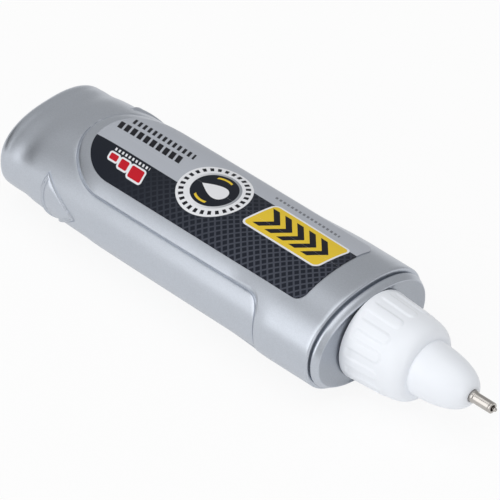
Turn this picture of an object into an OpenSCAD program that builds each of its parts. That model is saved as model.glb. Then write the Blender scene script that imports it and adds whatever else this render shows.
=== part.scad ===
// Correction pen: a flat oval squeeze barrel with a screwed-on valve nozzle and a steel writing tube.
// X runs along the pen towards the tip, Y across it and Z up through the label side.
// The pen lies on its back: z = 0 is the surface under it, and x = 0 is the middle of its length.

/* [Barrel] */
// Length of the barrel, from its tail to its front edge
barrel_l = 68; // [56:1:90]
// Width of the barrel at its front edge
barrel_w = 25; // [22:0.5:30]
// Thickness of the barrel at its front edge, before the flat on its back
barrel_t = 17; // [15:0.5:22]
// Exponent of the oval section: 2 is an ellipse, and more is squarer
section_power = 2.2; // [2:0.02:2.6]
// How much squarer the section is at the tail
tail_power = 0.2; // [0:0.02:0.4]
// Wall thickness of the barrel
wall_t = 1.1; // [0.8:0.1:1.6]
// Depth of the flat that the pen rests on
rest_flat_d = 0.2; // [0.1:0.05:0.4]

/* [Grip and panel] */
// Depth of the grips behind the front collar
grip_d = 0.5; // [0.2:0.05:0.8]
// Distance from the front edge back to the grips
grip_front = 11; // [9:0.5:14]
// Radius of the front corners of each grip
grip_corner_r = 3; // [1:0.25:4]
// Distance from the front edge back to the middle of the panel's round end
panel_end_x = 46; // [40:0.5:50]
// Half-width of the panel, seen from above, and the radius of its round end
panel_r = 9.8; // [9:0.1:10.4]
// Exponent of the panel's section: more is flatter on top and rounder at the edges
panel_power = 2.6; // [2.4:0.05:2.8]
// Height of the step round the panel
panel_step = 0.1; // [0.08:0.01:0.16]
// Length over which the panel goes over into the front collar
panel_blend_l = 10; // [8:0.5:12]

/* [Tail] */
// How far each side draws in from the front of the grips to the tail
tail_taper = 1.1; // [0.6:0.05:1.8]
// How far the top and the back draw in, mostly near the tail
tail_thin = 1.2; // [0.6:0.05:1.8]
// Depth of the soft waist round the tail
waist_d = 0.12; // [0.05:0.01:0.25]
// Length of the rounding round the tail
tail_round_l = 3.1; // [2:0.1:5]
// Length of the arrow pad on each side near the tail
pad_l = 6.4; // [4:0.2:8]
// Height of the arrow pad at its wide end
pad_h = 9.4; // [6:0.2:10]
// How far the arrow pad sits below the middle on one side and above it on the other
pad_shift = 1.1; // [0:0.1:1.2]
// How far the arrow pad stands out of the side
pad_d = 0.25; // [0.1:0.05:0.5]
// Distance from the front edge back to the wide end of the arrow pad
pad_x = 56; // [53:0.5:60]

/* [Cap seat and neck] */
// Width of the oval seat that the cap slides over
seat_w = 24.2; // [22:0.1:24.4]
// Thickness of that seat
seat_t = 15.4; // [15.2:0.1:16]
// Distance from the barrel's edge to the flat face in front of the seat
seat_l = 1.6; // [1.4:0.1:3]
// Length of the bevel between the seat and the flat face
seat_bevel_l = 0.45; // [0.2:0.05:0.6]
// Width of the flat face in front of the seat
face_w = 19.5; // [17:0.1:21]
// Thickness of the flat face in front of the seat
face_t = 14.9; // [14.8:0.1:15.1]
// Width of the groove between the barrel and the seat
groove_w = 0.6; // [0.4:0.1:0.8]
// Depth of the groove below the barrel's surface
groove_d = 1.3; // [0.8:0.1:1.6]
// Diameter of the neck at the root of its thread
neck_d = 9.4; // [9.2:0.1:9.8]
// Diameter of the thread's crest
thread_d = 10.4; // [10.2:0.1:10.8]
// Length of the neck in front of the seat
neck_l = 7.2; // [6:0.1:8]
// Diameter of the bore of the neck
neck_bore_d = 7.6; // [7.2:0.1:8]

/* [Label] */
// Length of the label
label_l = 48.4; // [40:0.1:49]
// Half-width of the label, seen from above, and the radius of its round end
label_r = 8.1; // [6:0.1:8.6]
// Distance from the front edge back to the label
label_front = 5.5; // [4:0.25:7]
// Thickness of the label film
label_t = 0.12; // [0.08:0.01:0.2]

/* [Nozzle] */
// Diameter of the nozzle at its base
nozzle_d = 14.7; // [14:0.1:16]
// Diameter of the nozzle where its shoulder starts
nozzle_neck_d = 13.84; // [13.2:0.02:14.6]
// Length of the ribbed part, from the base to the start of the shoulder
nozzle_skirt_l = 7.1; // [6:0.1:9]
// Length of the rounded shoulder
nozzle_shoulder_l = 3.8; // [3:0.1:5]
// Diameter of the crease between the shoulder and the dome
crease_d = 8.9; // [8.4:0.1:9.6]
// Length of the dome in front of the crease
dome_l = 8.95; // [7:0.05:11]
// Length of the dome that grips the writing tube
tube_grip_l = 5.35; // [4.6:0.05:6]
// Diameter of the countersink round the writing tube
mouth_d = 2.1; // [2.05:0.05:2.4]
// Number of ribs round the nozzle
rib_n = 14; // [10:1:16]
// Height of each rib
rib_h = 0.16; // [0.08:0.02:0.24]
// Width of each rib, and the diameter of its round front end
rib_w = 1.75; // [1.2:0.05:2]
// Width of the plain ring behind the ribs
base_ring_l = 0.9; // [0.6:0.05:1.4]
// Diameter of the chamber that holds the valve
chamber_d = 4.6; // [4.4:0.1:5]
// Outer diameter of the sleeve behind the chamber
sleeve_d = 6.6; // [6.2:0.1:7]

/* [Writing tube and valve] */
// Outer diameter of the writing tube
tube_d = 1.75; // [1.5:0.05:2]
// Inner diameter of the writing tube
tube_bore_d = 1; // [0.9:0.02:1.1]
// How far the writing tube stands out of the dome
tube_out = 3.95; // [3:0.05:5]
// Diameter of the flange that holds the writing tube in the chamber
flange_d = 3.8; // [3.2:0.1:4]
// Thickness of that flange
flange_t = 1; // [0.8:0.1:1.4]
// Diameter of the valve pin
pin_d = 0.66; // [0.5:0.02:0.74]
// How far the pin stands out of the writing tube at rest
pin_out = 0.7; // [0.5:0.05:1]
// How far the pin can be pressed in
pin_travel = 0.55; // [0.3:0.05:0.6]
// Diameter of the valve collar on the pin
collar_d = 3; // [2.4:0.1:3.2]
// Length of the valve collar
collar_l = 1.6; // [1.2:0.1:2.4]

/* [Spring and retainer] */
// Length of the spring as fitted
spring_l = 5.4; // [4.4:0.1:6]
// Diameter of the spring, over its coils
spring_d = 3.2; // [2.8:0.1:3.4]
// Diameter of the spring wire
spring_wire_d = 0.34; // [0.26:0.02:0.4]
// Number of coils
spring_n = 7; // [5:1:8]
// Length of the retainer plug that closes the chamber
retainer_l = 2.4; // [2:0.1:3]
// Width of the slots that let the fluid past the retainer
retainer_slot_w = 1; // [0.6:0.1:1.2]

/* [Washer and mixing ball] */
// Thickness of the sealing washer between the neck and the nozzle
washer_t = 0.8; // [0.5:0.1:1.2]
// Diameter of the mixing ball in the barrel
ball_d = 5.6; // [4:0.2:7]

/* [Hidden] */

// Clearance between pieces that are pressed together, on the radius
press_gap = 0.02;
// Clearance between pieces that rest against each other
seat_gap = 0.05;
// Clearance between pieces that slide or turn in each other, on the radius
run_gap = 0.1;
// Glue line under the label
glue_t = 0.02;
// Overshoot of a cut past the face that it opens
cut = 0.1;
// Segments round the outside and the inside of the barrel
ring_n = 64;
bore_ring_n = 40;
// Rounding of the barrel's front edge
edge_r = 0.35;
// Exponents of the curves along which the sides draw in, the top and back draw in, and the section changes
side_curve = 2.4;
top_curve = 9;
power_curve = 3;
// Exponent of the tail's rounding, and the share of the section that its end face has
tail_curve = 3.4;
tail_face = 0.2;
// Exponent of the curve along which the panel comes down at its round end
panel_curve = 3;
// Share of the panel's blend that lies behind the front of the grips
blend_share = 0.75;
// Distance from the tail's rounding forward to the soft waist, and the waist's reach
waist_in = 2.9;
waist_l = 1.5;
// How far the back of the arrow pad is notched
pad_notch = 0.6;
// Radius of the front corners of the label
label_corner_r = 1.5;

// Places along the pen, measured from the barrel's front edge towards the tip
tail_u = -barrel_l;
neck_end_u = seat_l + neck_l;
nozzle_u = seat_l + seat_gap;
shoulder_u = nozzle_u + nozzle_skirt_l;
crease_u = shoulder_u + nozzle_shoulder_l;
mouth_u = crease_u + dome_l;
tube_end_u = mouth_u + tube_out;
tip_u = tube_end_u + pin_out;
washer_u = neck_end_u + seat_gap;
ceiling_u = washer_u + washer_t + seat_gap;
chamber_end_u = mouth_u - tube_grip_l;
flange_u = chamber_end_u - flange_t;
collar_u = flange_u - seat_gap - collar_l;
spring_u = collar_u - spring_l;
retainer_flange_l = 0.7;
sleeve_u = spring_u - retainer_l + retainer_flange_l;
retainer_u = sleeve_u - retainer_flange_l;

// The object's frame: the middle of the length, and the surface that the pen lies on
mid_u = (tip_u + tail_u) / 2;
axis_z = barrel_t / 2 - rest_flat_d;

// A section of the barrel is [half-width, half-thickness, exponent]
function spow(v, p) = sign(v) * pow(abs(v), p);
function clamped(v) = min(1, max(0, v));
function eased(v) = let (s = clamped(v)) s * s * (3 - 2 * s);
// Point of a section at an angle
function oval_point(s, t) = [s[0] * spow(cos(t), 2 / s[2]), s[1] * spow(sin(t), 2 / s[2])];
// Height of a section above its middle, at y across
function oval_z(s, y) = s[1] * pow(max(0, 1 - pow(abs(y) / s[0], s[2])), 1 / s[2]);
// A section grown by a thickness, and one drawn in to a share of its size
function grown(s, d) = [s[0] + d, s[1] + d, s[2]];
function shrunk(s, share) = [s[0] * share, s[1] * share, s[2]];

// Share of the way from the front to the start of the tail's rounding
taper_l = barrel_l - tail_round_l;
function back_share(u) = clamped(-u / taper_l);
function waist(u) = waist_d * exp(-pow((u + taper_l - waist_in) / waist_l, 2));
// Section at the level of the grips
function grip_section(u) = let (s = back_share(u)) [
    barrel_w / 2 - grip_d - tail_taper * pow(s, side_curve) - waist(u),
    (barrel_w / 2 - grip_d) * barrel_t / barrel_w - tail_thin * pow(s, top_curve) - waist(u),
    section_power + tail_power * pow(s, power_curve)
];
// Section at the level of the front collar
collar_section = [barrel_w / 2, barrel_t / 2, section_power];

// The panel's outline seen from above, and the height of its middle
panel_tip_u = -panel_end_x - panel_r;
function outline_w(u) = sqrt(max(0, panel_r * panel_r - pow(min(0, u + panel_end_x), 2)));
function panel_b(u) =
    let (s = clamped((-u - panel_end_x) / panel_r), low = grip_section(panel_tip_u)[1] + panel_step)
    barrel_t / 2 + (low - barrel_t / 2) * pow(s, panel_curve);
// Half-width with which the panel's section stands one step over the grips at its outline
function panel_a(u) =
    let (w = outline_w(u), z = oval_z(grip_section(u), w) + panel_step)
    w / pow(1 - pow(z / panel_b(u), panel_power), 1 / panel_power);
// Section of the panel, which goes over into the collar in front
blend_u = -grip_front - panel_blend_l * blend_share;
function panel_section(u) =
    let (s = eased((u - blend_u) / panel_blend_l), own = [panel_a(u), panel_b(u), panel_power])
    own + (collar_section - own) * s;
// Rounding of the tail: share of the section that is left at s, from 0 at its start to 1 at the end
function tail_share(s) = pow(1 - pow(s, tail_curve), 1 / tail_curve);

// Solid through a list of sections, each [u, section]; top keeps the upper half
module loft(sections, segments = ring_n, top = false) {
    rings = len(sections);
    n = top ? segments / 2 + 1 : segments;
    points = [
        for (s = sections, j = [0 : n - 1])
            let (p = oval_point(s[1], 360 * j / segments)) [s[0], p[0], p[1]]
    ];
    sides = [
        for (i = [0 : rings - 2], j = [0 : n - 1])
            let (k = (j + 1) % n) [i * n + j, (i + 1) * n + j, (i + 1) * n + k, i * n + k]
    ];
    tail_cap = [for (j = [0 : n - 1]) j];
    front_cap = [for (j = [n - 1 : -1 : 0]) (rings - 1) * n + j];
    polyhedron(points, concat([tail_cap], sides, [front_cap]), convexity = 4);
}

// Solid of revolution about the pen's axis, from a list of [u, radius]
module turned(profile) {
    rotate([0, 90, 0]) rotate([0, 0, 90]) rotate_extrude($fn = 96)
        polygon([for (p = profile) [p[1], p[0]]]);
}

// Round bar or bore along the pen's axis
module bar(u0, u1, d, d_end = -1) {
    translate([u0, 0, 0]) rotate([0, 90, 0])
        cylinder(h = u1 - u0, d1 = d, d2 = d_end < 0 ? d : d_end, $fn = 96);
}

// Moves a piece from the axis of the pen into the object's frame
module placed() {
    translate([-mid_u, 0, axis_z]) children();
}

// Where the sections of the body stand, closer together towards the tail, and their least distance
body_steps = [0, 1.4, 2.9, 4.4, 6.2, 8.6, 12, 17, 24, 32, 42];
step_min = 1;
body_us = concat([for (d = body_steps) if (d < taper_l - step_min) -taper_l + d], [0]);

// Barrel at the level of the grips, with the groove and the cap seat in front
module barrel_core() {
    last = grip_section(-taper_l);
    tail_turns = [85, 70, 58, 46, 34, 22, 11];
    groove_floor = grown(collar_section, -groove_d);
    seat = [seat_w / 2, seat_t / 2, section_power];
    seat_edge = 0.12;
    loft(concat(
        [[tail_u, shrunk(last, tail_face)]],
        [for (w = tail_turns) [-taper_l - tail_round_l * sin(w), shrunk(last, tail_share(sin(w)))]],
        [for (u = body_us) [u, grip_section(u)]],
        [
            [0, groove_floor], [groove_w, groove_floor], [groove_w, seat], [seat_l - seat_bevel_l, seat],
            [seat_l - seat_bevel_l + seat_edge / 2, grown(seat, -seat_edge)],
            [seat_l, [face_w / 2, face_t / 2, section_power]]
        ]
    ));
}

// Sections of the raised level, grown by a thickness
rear_shares = [0.985, 0.94, 0.86, 0.74, 0.58, 0.38, 0.16];
panel_us = concat(
    [for (s = rear_shares) -panel_end_x - panel_r * s],
    [for (i = [0 : 3]) -panel_end_x + (panel_end_x + blend_u) * i / 4],
    [for (i = [0 : 5]) blend_u + panel_blend_l * i / 5]
);
function raised_sections(grow) = concat(
    [for (u = panel_us) if (u > -taper_l) [u, grown(panel_section(u), grow)]],
    [for (w = [0, 30, 60, 90]) [-edge_r * (1 - sin(w)), grown(collar_section, grow - edge_r * (1 - cos(w)))]]
);

// Outline of the raised level seen from above: a collar at the front and a tongue with a round end
module raised_outline() {
    half = barrel_w / 2 + cut;
    corner_x = grip_front + grip_corner_r;
    corner_y = panel_r + grip_corner_r;
    translate([-panel_end_x, -panel_r]) square([panel_end_x + cut, 2 * panel_r]);
    translate([-panel_end_x, 0]) circle(r = panel_r, $fn = 96);
    translate([-grip_front, -half]) square([grip_front + cut, 2 * half]);
    difference() {
        translate([-corner_x, -corner_y]) square([corner_x, 2 * corner_y]);
        for (side = [-1, 1]) translate([-corner_x, side * corner_y]) circle(r = grip_corner_r, $fn = 64);
    }
}

// Raised label panel and front collar
module barrel_panel() {
    intersection() {
        loft(raised_sections(0));
        translate([0, 0, -barrel_t]) linear_extrude(2 * barrel_t) raised_outline();
    }
}

// Arrow pads on both sides near the tail, pointing to the tip
module arrow_pads() {
    for (side = [-1, 1]) intersection() {
        loft([for (u = body_us) [u, grown(grip_section(u), pad_d)]]);
        translate([-pad_x, side * barrel_w / 2, side * pad_shift]) rotate([90, 0, 0])
            linear_extrude(barrel_w / 2, center = true)
                polygon([[0, -pad_h / 2], [pad_l, 0], [0, pad_h / 2], [-pad_notch, 0]]);
    }
}

// Inside of the barrel, up to the neck
module barrel_cavity() {
    last = grown(grip_section(-taper_l), -wall_t);
    inner_l = tail_round_l - wall_t;
    throat = [barrel_w / 2 - groove_d - 2 * wall_t, barrel_t / 2 - groove_d - wall_t, section_power];
    loft(concat(
        [[tail_u + wall_t, shrunk(last, tail_face)]],
        [for (w = [60, 40, 20]) [-taper_l - inner_l * sin(w), shrunk(last, tail_share(sin(w)))]],
        [for (u = body_us) if (u < -2 * wall_t - step_min) [u, grown(grip_section(u), -wall_t)]],
        [[-2 * wall_t, grown(grip_section(0), -wall_t)], [-wall_t / 2, throat]]
    ), bore_ring_n);
}

// Squeeze barrel with its neck: one moulding
module bottle() {
    color("silver") placed() difference() {
        union() {
            barrel_core();
            barrel_panel();
            arrow_pads();
            bar(seat_l - cut, neck_end_u, neck_d);
        }
        barrel_cavity();
        bar(-wall_t, neck_end_u + cut, neck_bore_d);
        translate([tail_u, -barrel_w, -barrel_t / 2 - barrel_t + rest_flat_d])
            cube([barrel_l + seat_l, 2 * barrel_w, barrel_t]);
    }
}

// Outline of the label seen from above: straight in front, round behind
module label_outline() {
    front = -label_front - label_corner_r;
    back = -label_front - label_l + label_r;
    side = label_r - label_corner_r;
    translate([back, 0]) circle(r = label_r, $fn = 96);
    translate([back, -label_r]) square([front - back, 2 * label_r]);
    translate([front - cut, -side]) square([label_corner_r + cut, 2 * side]);
    for (y = [-side, side]) translate([front, y]) circle(r = label_corner_r, $fn = 48);
}

// Printed film glued on the panel
module label_film() {
    color("dimgray") placed() difference() {
        intersection() {
            loft(raised_sections(glue_t + label_t), top = true);
            translate([0, 0, cut]) linear_extrude(barrel_t) label_outline();
        }
        loft(raised_sections(glue_t), top = true);
    }
}

// Steel ball that stirs the fluid, lying on the inside of the back
module mixing_ball() {
    ball_u = -barrel_l / 3;
    floor_z = wall_t - grip_section(ball_u)[1];
    color("lightgray") placed() translate([ball_u, 0, floor_z + ball_d / 2 + seat_gap])
        sphere(d = ball_d, $fn = 64);
}

// Soft washer between the end of the neck and the nozzle
module sealing_washer() {
    color("whitesmoke") placed() difference() {
        bar(washer_u, washer_u + washer_t, thread_d);
        bar(washer_u - cut, washer_u + washer_t + cut, neck_bore_d);
    }
}

// Outside of the nozzle from the ribs on: rounded shoulder, crease and dome, below the ribs' level by rib_h
shoulder_curve = 2.3;
dome_curve = 2.07;
function round_share(s, p) = pow(max(0, 1 - pow(s, p)), 1 / p);
function front_profile() =
    let (start_r = nozzle_neck_d / 2 - rib_h, crease_r = crease_d / 2, mouth_r = mouth_d / 2) concat(
        [for (w = [0 : 9 : 90]) [
            shoulder_u + nozzle_shoulder_l * sin(w),
            crease_r + (start_r - crease_r) * round_share(sin(w), shoulder_curve)
        ]],
        [for (w = [9 : 9 : 90]) [
            crease_u + dome_l * sin(w),
            mouth_r + (crease_r - mouth_r) * round_share(sin(w), dome_curve)
        ]]
    );

// Nozzle between its ribs, with the plain ring at its base
base_edge = 0.15;
ring_end_u = nozzle_u + base_ring_l;
skirt_slope = (nozzle_d - nozzle_neck_d) / 2 / nozzle_skirt_l;
module nozzle_core() {
    turned(concat(
        [
            [nozzle_u, 0], [nozzle_u, nozzle_d / 2 - base_edge], [nozzle_u + base_edge, nozzle_d / 2],
            [ring_end_u, nozzle_d / 2 - base_ring_l * skirt_slope],
            [ring_end_u + rib_h, nozzle_d / 2 - base_ring_l * skirt_slope - rib_h]
        ],
        front_profile(),
        [[mouth_u, 0]]
    ));
}

// Ribs along the skirt, rooted in its wall, with round front ends that reach just past the shoulder's start
rib_root_d = 0.8;
rib_over = 0.1;
module nozzle_ribs() {
    start_u = nozzle_u + base_ring_l / 2;
    end_u = shoulder_u + rib_over + cut;
    tip_u = shoulder_u + rib_over - rib_w / 2;
    root_r = nozzle_neck_d / 2 - rib_root_d;
    end_d = nozzle_neck_d - 2 * (rib_over + cut) * skirt_slope;
    intersection() {
        bar(start_u, end_u, nozzle_d - base_ring_l * skirt_slope, end_d);
        for (i = [0 : rib_n - 1]) rotate([360 * (i + 0.5) / rib_n, 0, 0]) translate([0, 0, root_r])
            linear_extrude(nozzle_d / 2) {
                translate([start_u - cut, -rib_w / 2]) square([tip_u - start_u + cut, rib_w]);
                translate([tip_u, 0]) circle(d = rib_w, $fn = 48);
            }
    }
}

// White nozzle that screws on the neck and carries the tube and the valve
countersink_l = 0.5;
module nozzle() {
    color("white") placed() difference() {
        union() {
            nozzle_core();
            nozzle_ribs();
        }
        difference() {
            bar(nozzle_u - cut, ceiling_u, thread_d + 2 * run_gap);
            bar(sleeve_u, ceiling_u + cut, sleeve_d);
        }
        bar(nozzle_u - cut, chamber_end_u, chamber_d);
        bar(nozzle_u - cut, mouth_u + cut, tube_d + 2 * press_gap);
        bar(mouth_u - countersink_l, mouth_u + cut, tube_d + 2 * press_gap, mouth_d);
    }
}

// Steel tube with the flange that seats in the chamber
lip_l = 0.25;
lip_w = 0.12;
seat_cone_l = flange_t * 0.45;
seat_cone_d = 2.8;
module writing_tube() {
    r = tube_d / 2;
    color("gainsboro") placed() difference() {
        turned([
            [flange_u, 0], [flange_u, flange_d / 2], [chamber_end_u - press_gap, flange_d / 2],
            [chamber_end_u - press_gap, r], [tube_end_u - lip_l, r], [tube_end_u, r - lip_w], [tube_end_u, 0]
        ]);
        bar(flange_u - cut, tube_end_u + cut, tube_bore_d);
        bar(flange_u - cut, flange_u + seat_cone_l, seat_cone_d, tube_bore_d);
    }
}

// Valve pin with a rounded end that the paper pushes in; its tail behind the collar is twice its travel long
module valve_pin() {
    r = pin_d / 2;
    color("silver") placed() turned(concat(
        [[collar_u - 2 * pin_travel, 0], [collar_u - 2 * pin_travel, r]],
        [for (w = [0 : 15 : 90]) [tip_u - r + r * sin(w), r * cos(w)]]
    ));
}

// Collar on the pin: its cone closes the tube's flange
nose_base_d = 2.4;
nose_tip_w = 0.2;
module valve_collar() {
    end_u = collar_u + collar_l;
    nose_u = end_u + seat_cone_l - seat_gap;
    color("gray") placed() difference() {
        turned([
            [collar_u, 0], [collar_u, collar_d / 2], [end_u, collar_d / 2],
            [end_u, nose_base_d / 2], [nose_u, pin_d / 2 + nose_tip_w], [nose_u, 0]
        ]);
        bar(collar_u - cut, flange_u + flange_t, pin_d + 2 * press_gap);
    }
}

// Coil spring that holds the collar on its seat
module valve_spring() {
    steps = 14;
    sides = 6;
    rc = (spring_d - spring_wire_d) / 2;
    rw = spring_wire_d / 2;
    count = spring_n * steps;
    u0 = spring_u + rw;
    pitch = (spring_l - spring_wire_d - seat_gap) / spring_n;
    points = [
        for (i = [0 : count], k = [0 : sides - 1])
            let (t = 360 * i / steps, q = 360 * k / sides, r = rc + rw * cos(q))
            [u0 + pitch * i / steps + rw * sin(q), r * cos(t), r * sin(t)]
    ];
    skin = [
        for (i = [0 : count - 1], k = [0 : sides - 1])
            let (m = (k + 1) % sides) [i * sides + k, i * sides + m, (i + 1) * sides + m, (i + 1) * sides + k]
    ];
    first = [for (k = [sides - 1 : -1 : 0]) k];
    last = [for (k = [0 : sides - 1]) count * sides + k];
    color("lightsteelblue") placed() polyhedron(points, concat([first], skin, [last]), convexity = 10);
}

// Slotted plug that closes the sleeve behind the spring
retainer_inset = 0.2;
retainer_bore_d = 1.6;
slot_floor_l = 0.5;
module spring_retainer() {
    slot_l = retainer_l - slot_floor_l;
    color("ivory") placed() difference() {
        union() {
            bar(retainer_u, sleeve_u - press_gap, sleeve_d - 2 * retainer_inset);
            bar(sleeve_u - cut, spring_u - press_gap, chamber_d - 2 * press_gap);
        }
        bar(retainer_u - cut, spring_u + cut, retainer_bore_d);
        for (turn = [0, 90]) rotate([turn, 0, 0])
            translate([retainer_u - cut, -retainer_slot_w / 2, -sleeve_d])
                cube([slot_l, retainer_slot_w, 2 * sleeve_d]);
    }
}

bottle();
label_film();
mixing_ball();
sealing_washer();
nozzle();
writing_tube();
valve_pin();
valve_collar();
valve_spring();
spring_retainer();
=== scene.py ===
"""Looks of the correction pen: satin barrel, printed label, ribbed nozzle, steel tube and valve.

Places along the pen are in millimetres: u runs from the barrel's front edge to the tip, v across
the pen and w up from its axis, through the label. PenFrame turns them into the frame of the
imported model.
"""

import logging
import math
from dataclasses import dataclass, field
from enum import Enum
from functools import cache
from typing import Any, Sequence

import bmesh
import bpy
import numpy as np
from mathutils import Matrix, Vector
from mathutils.geometry import delaunay_2d_cdt


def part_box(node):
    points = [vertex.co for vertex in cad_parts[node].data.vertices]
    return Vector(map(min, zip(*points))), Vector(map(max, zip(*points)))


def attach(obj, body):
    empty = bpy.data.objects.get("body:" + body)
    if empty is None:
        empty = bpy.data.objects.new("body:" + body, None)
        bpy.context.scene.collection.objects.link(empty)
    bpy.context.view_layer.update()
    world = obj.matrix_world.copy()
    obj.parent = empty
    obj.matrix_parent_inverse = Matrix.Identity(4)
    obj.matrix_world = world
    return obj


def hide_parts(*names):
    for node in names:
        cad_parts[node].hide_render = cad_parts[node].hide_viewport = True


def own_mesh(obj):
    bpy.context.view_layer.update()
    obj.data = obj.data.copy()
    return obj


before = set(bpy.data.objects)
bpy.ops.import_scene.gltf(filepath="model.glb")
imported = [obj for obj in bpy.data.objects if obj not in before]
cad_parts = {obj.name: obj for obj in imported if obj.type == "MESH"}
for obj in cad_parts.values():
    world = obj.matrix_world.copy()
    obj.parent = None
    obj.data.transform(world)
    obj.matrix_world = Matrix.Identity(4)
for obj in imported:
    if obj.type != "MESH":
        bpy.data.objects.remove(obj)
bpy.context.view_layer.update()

Span = tuple[float, float]
Colour = tuple[float, float, float]

MM = 0.001
TURN = 2 * math.pi
TINY = 1e-6
STRAIGHT = math.radians(165)
BLACK: Colour = (0.0, 0.0, 0.0)
WHITE: Colour = (1.0, 1.0, 1.0)
log = logging.getLogger("correction_pen")


@dataclass(frozen=True)
class PenFrame:
    """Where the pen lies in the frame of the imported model."""

    front_x: float
    axis_z: float

    @classmethod
    def from_cad(cls, barrel_l: float) -> "PenFrame":
        """The pen's place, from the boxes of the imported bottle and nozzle.

        Args:
            barrel_l: Length of the barrel in mm.

        Returns:
            The frame of the pen.
        """
        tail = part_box("bottle")[0].x / MM
        low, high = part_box("nozzle")
        return cls(front_x=tail + barrel_l, axis_z=(low.z + high.z) / 2 / MM)

    def place(self, points: np.ndarray) -> np.ndarray:
        """Points in mm along the pen, as points in metres in the frame."""
        return (np.asarray(points, float) + (self.front_x, 0.0, self.axis_z)) * MM


class Wire:
    """A number inside a node tree. Python's operators on it add Math nodes."""

    def __init__(self, sheet: "NodeSheet", socket: bpy.types.NodeSocket) -> None:
        """Wraps one output socket of a node in the sheet."""
        self.sheet = sheet
        self.socket = socket

    def math(self, operation: str, *values: "Wire | float") -> "Wire":
        """The result of one Math node on the given values."""
        inputs = dict(enumerate(values))
        return self.sheet.wire(self.sheet.node("ShaderNodeMath", {"operation": operation}, inputs))

    def __add__(self, other: "Wire | float") -> "Wire":
        """Sum."""
        return self.math("ADD", self, other)

    __radd__ = __add__

    def __sub__(self, other: "Wire | float") -> "Wire":
        """Difference."""
        return self.math("SUBTRACT", self, other)

    def __rsub__(self, other: float) -> "Wire":
        """Difference, with the number first."""
        return self.math("SUBTRACT", other, self)

    def __mul__(self, other: "Wire | float") -> "Wire":
        """Product."""
        return self.math("MULTIPLY", self, other)

    __rmul__ = __mul__

    def __truediv__(self, other: "Wire | float") -> "Wire":
        """Quotient."""
        return self.math("DIVIDE", self, other)

    def __abs__(self) -> "Wire":
        """Size without the sign."""
        return self.math("ABSOLUTE", self)

    def __pow__(self, other: float) -> "Wire":
        """Power."""
        return self.math("POWER", self, other)

    def least(self, other: "Wire | float") -> "Wire":
        """The smaller of the two."""
        return self.math("MINIMUM", self, other)

    def most(self, other: "Wire | float") -> "Wire":
        """The larger of the two."""
        return self.math("MAXIMUM", self, other)

    def root(self) -> "Wire":
        """Square root."""
        return self.math("SQRT", self)

    def fraction(self) -> "Wire":
        """What is left after the decimal point."""
        return self.math("FRACT", self)

    def clamped(self) -> "Wire":
        """The value, kept between 0 and 1."""
        return self.most(0.0).least(1.0)

    def between(self, low: float, high: float) -> "Wire":
        """A share from 0 to 1, as a value from low to high."""
        return self * (high - low) + low

    def inside(self, edge: float = 0.0, soft: float = 0.03) -> "Wire":
        """1 where the value is under the edge and 0 over it, over a short soft step."""
        return ((edge - self) / soft + 0.5).clamped()

    def rise(self, start: "Wire | float", end: "Wire | float") -> "Wire":
        """Goes from 0 at start to 1 at end, smoothly."""
        share = ((self - start) / (end - start)).clamped()
        return share * share * (3.0 - 2.0 * share)


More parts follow.
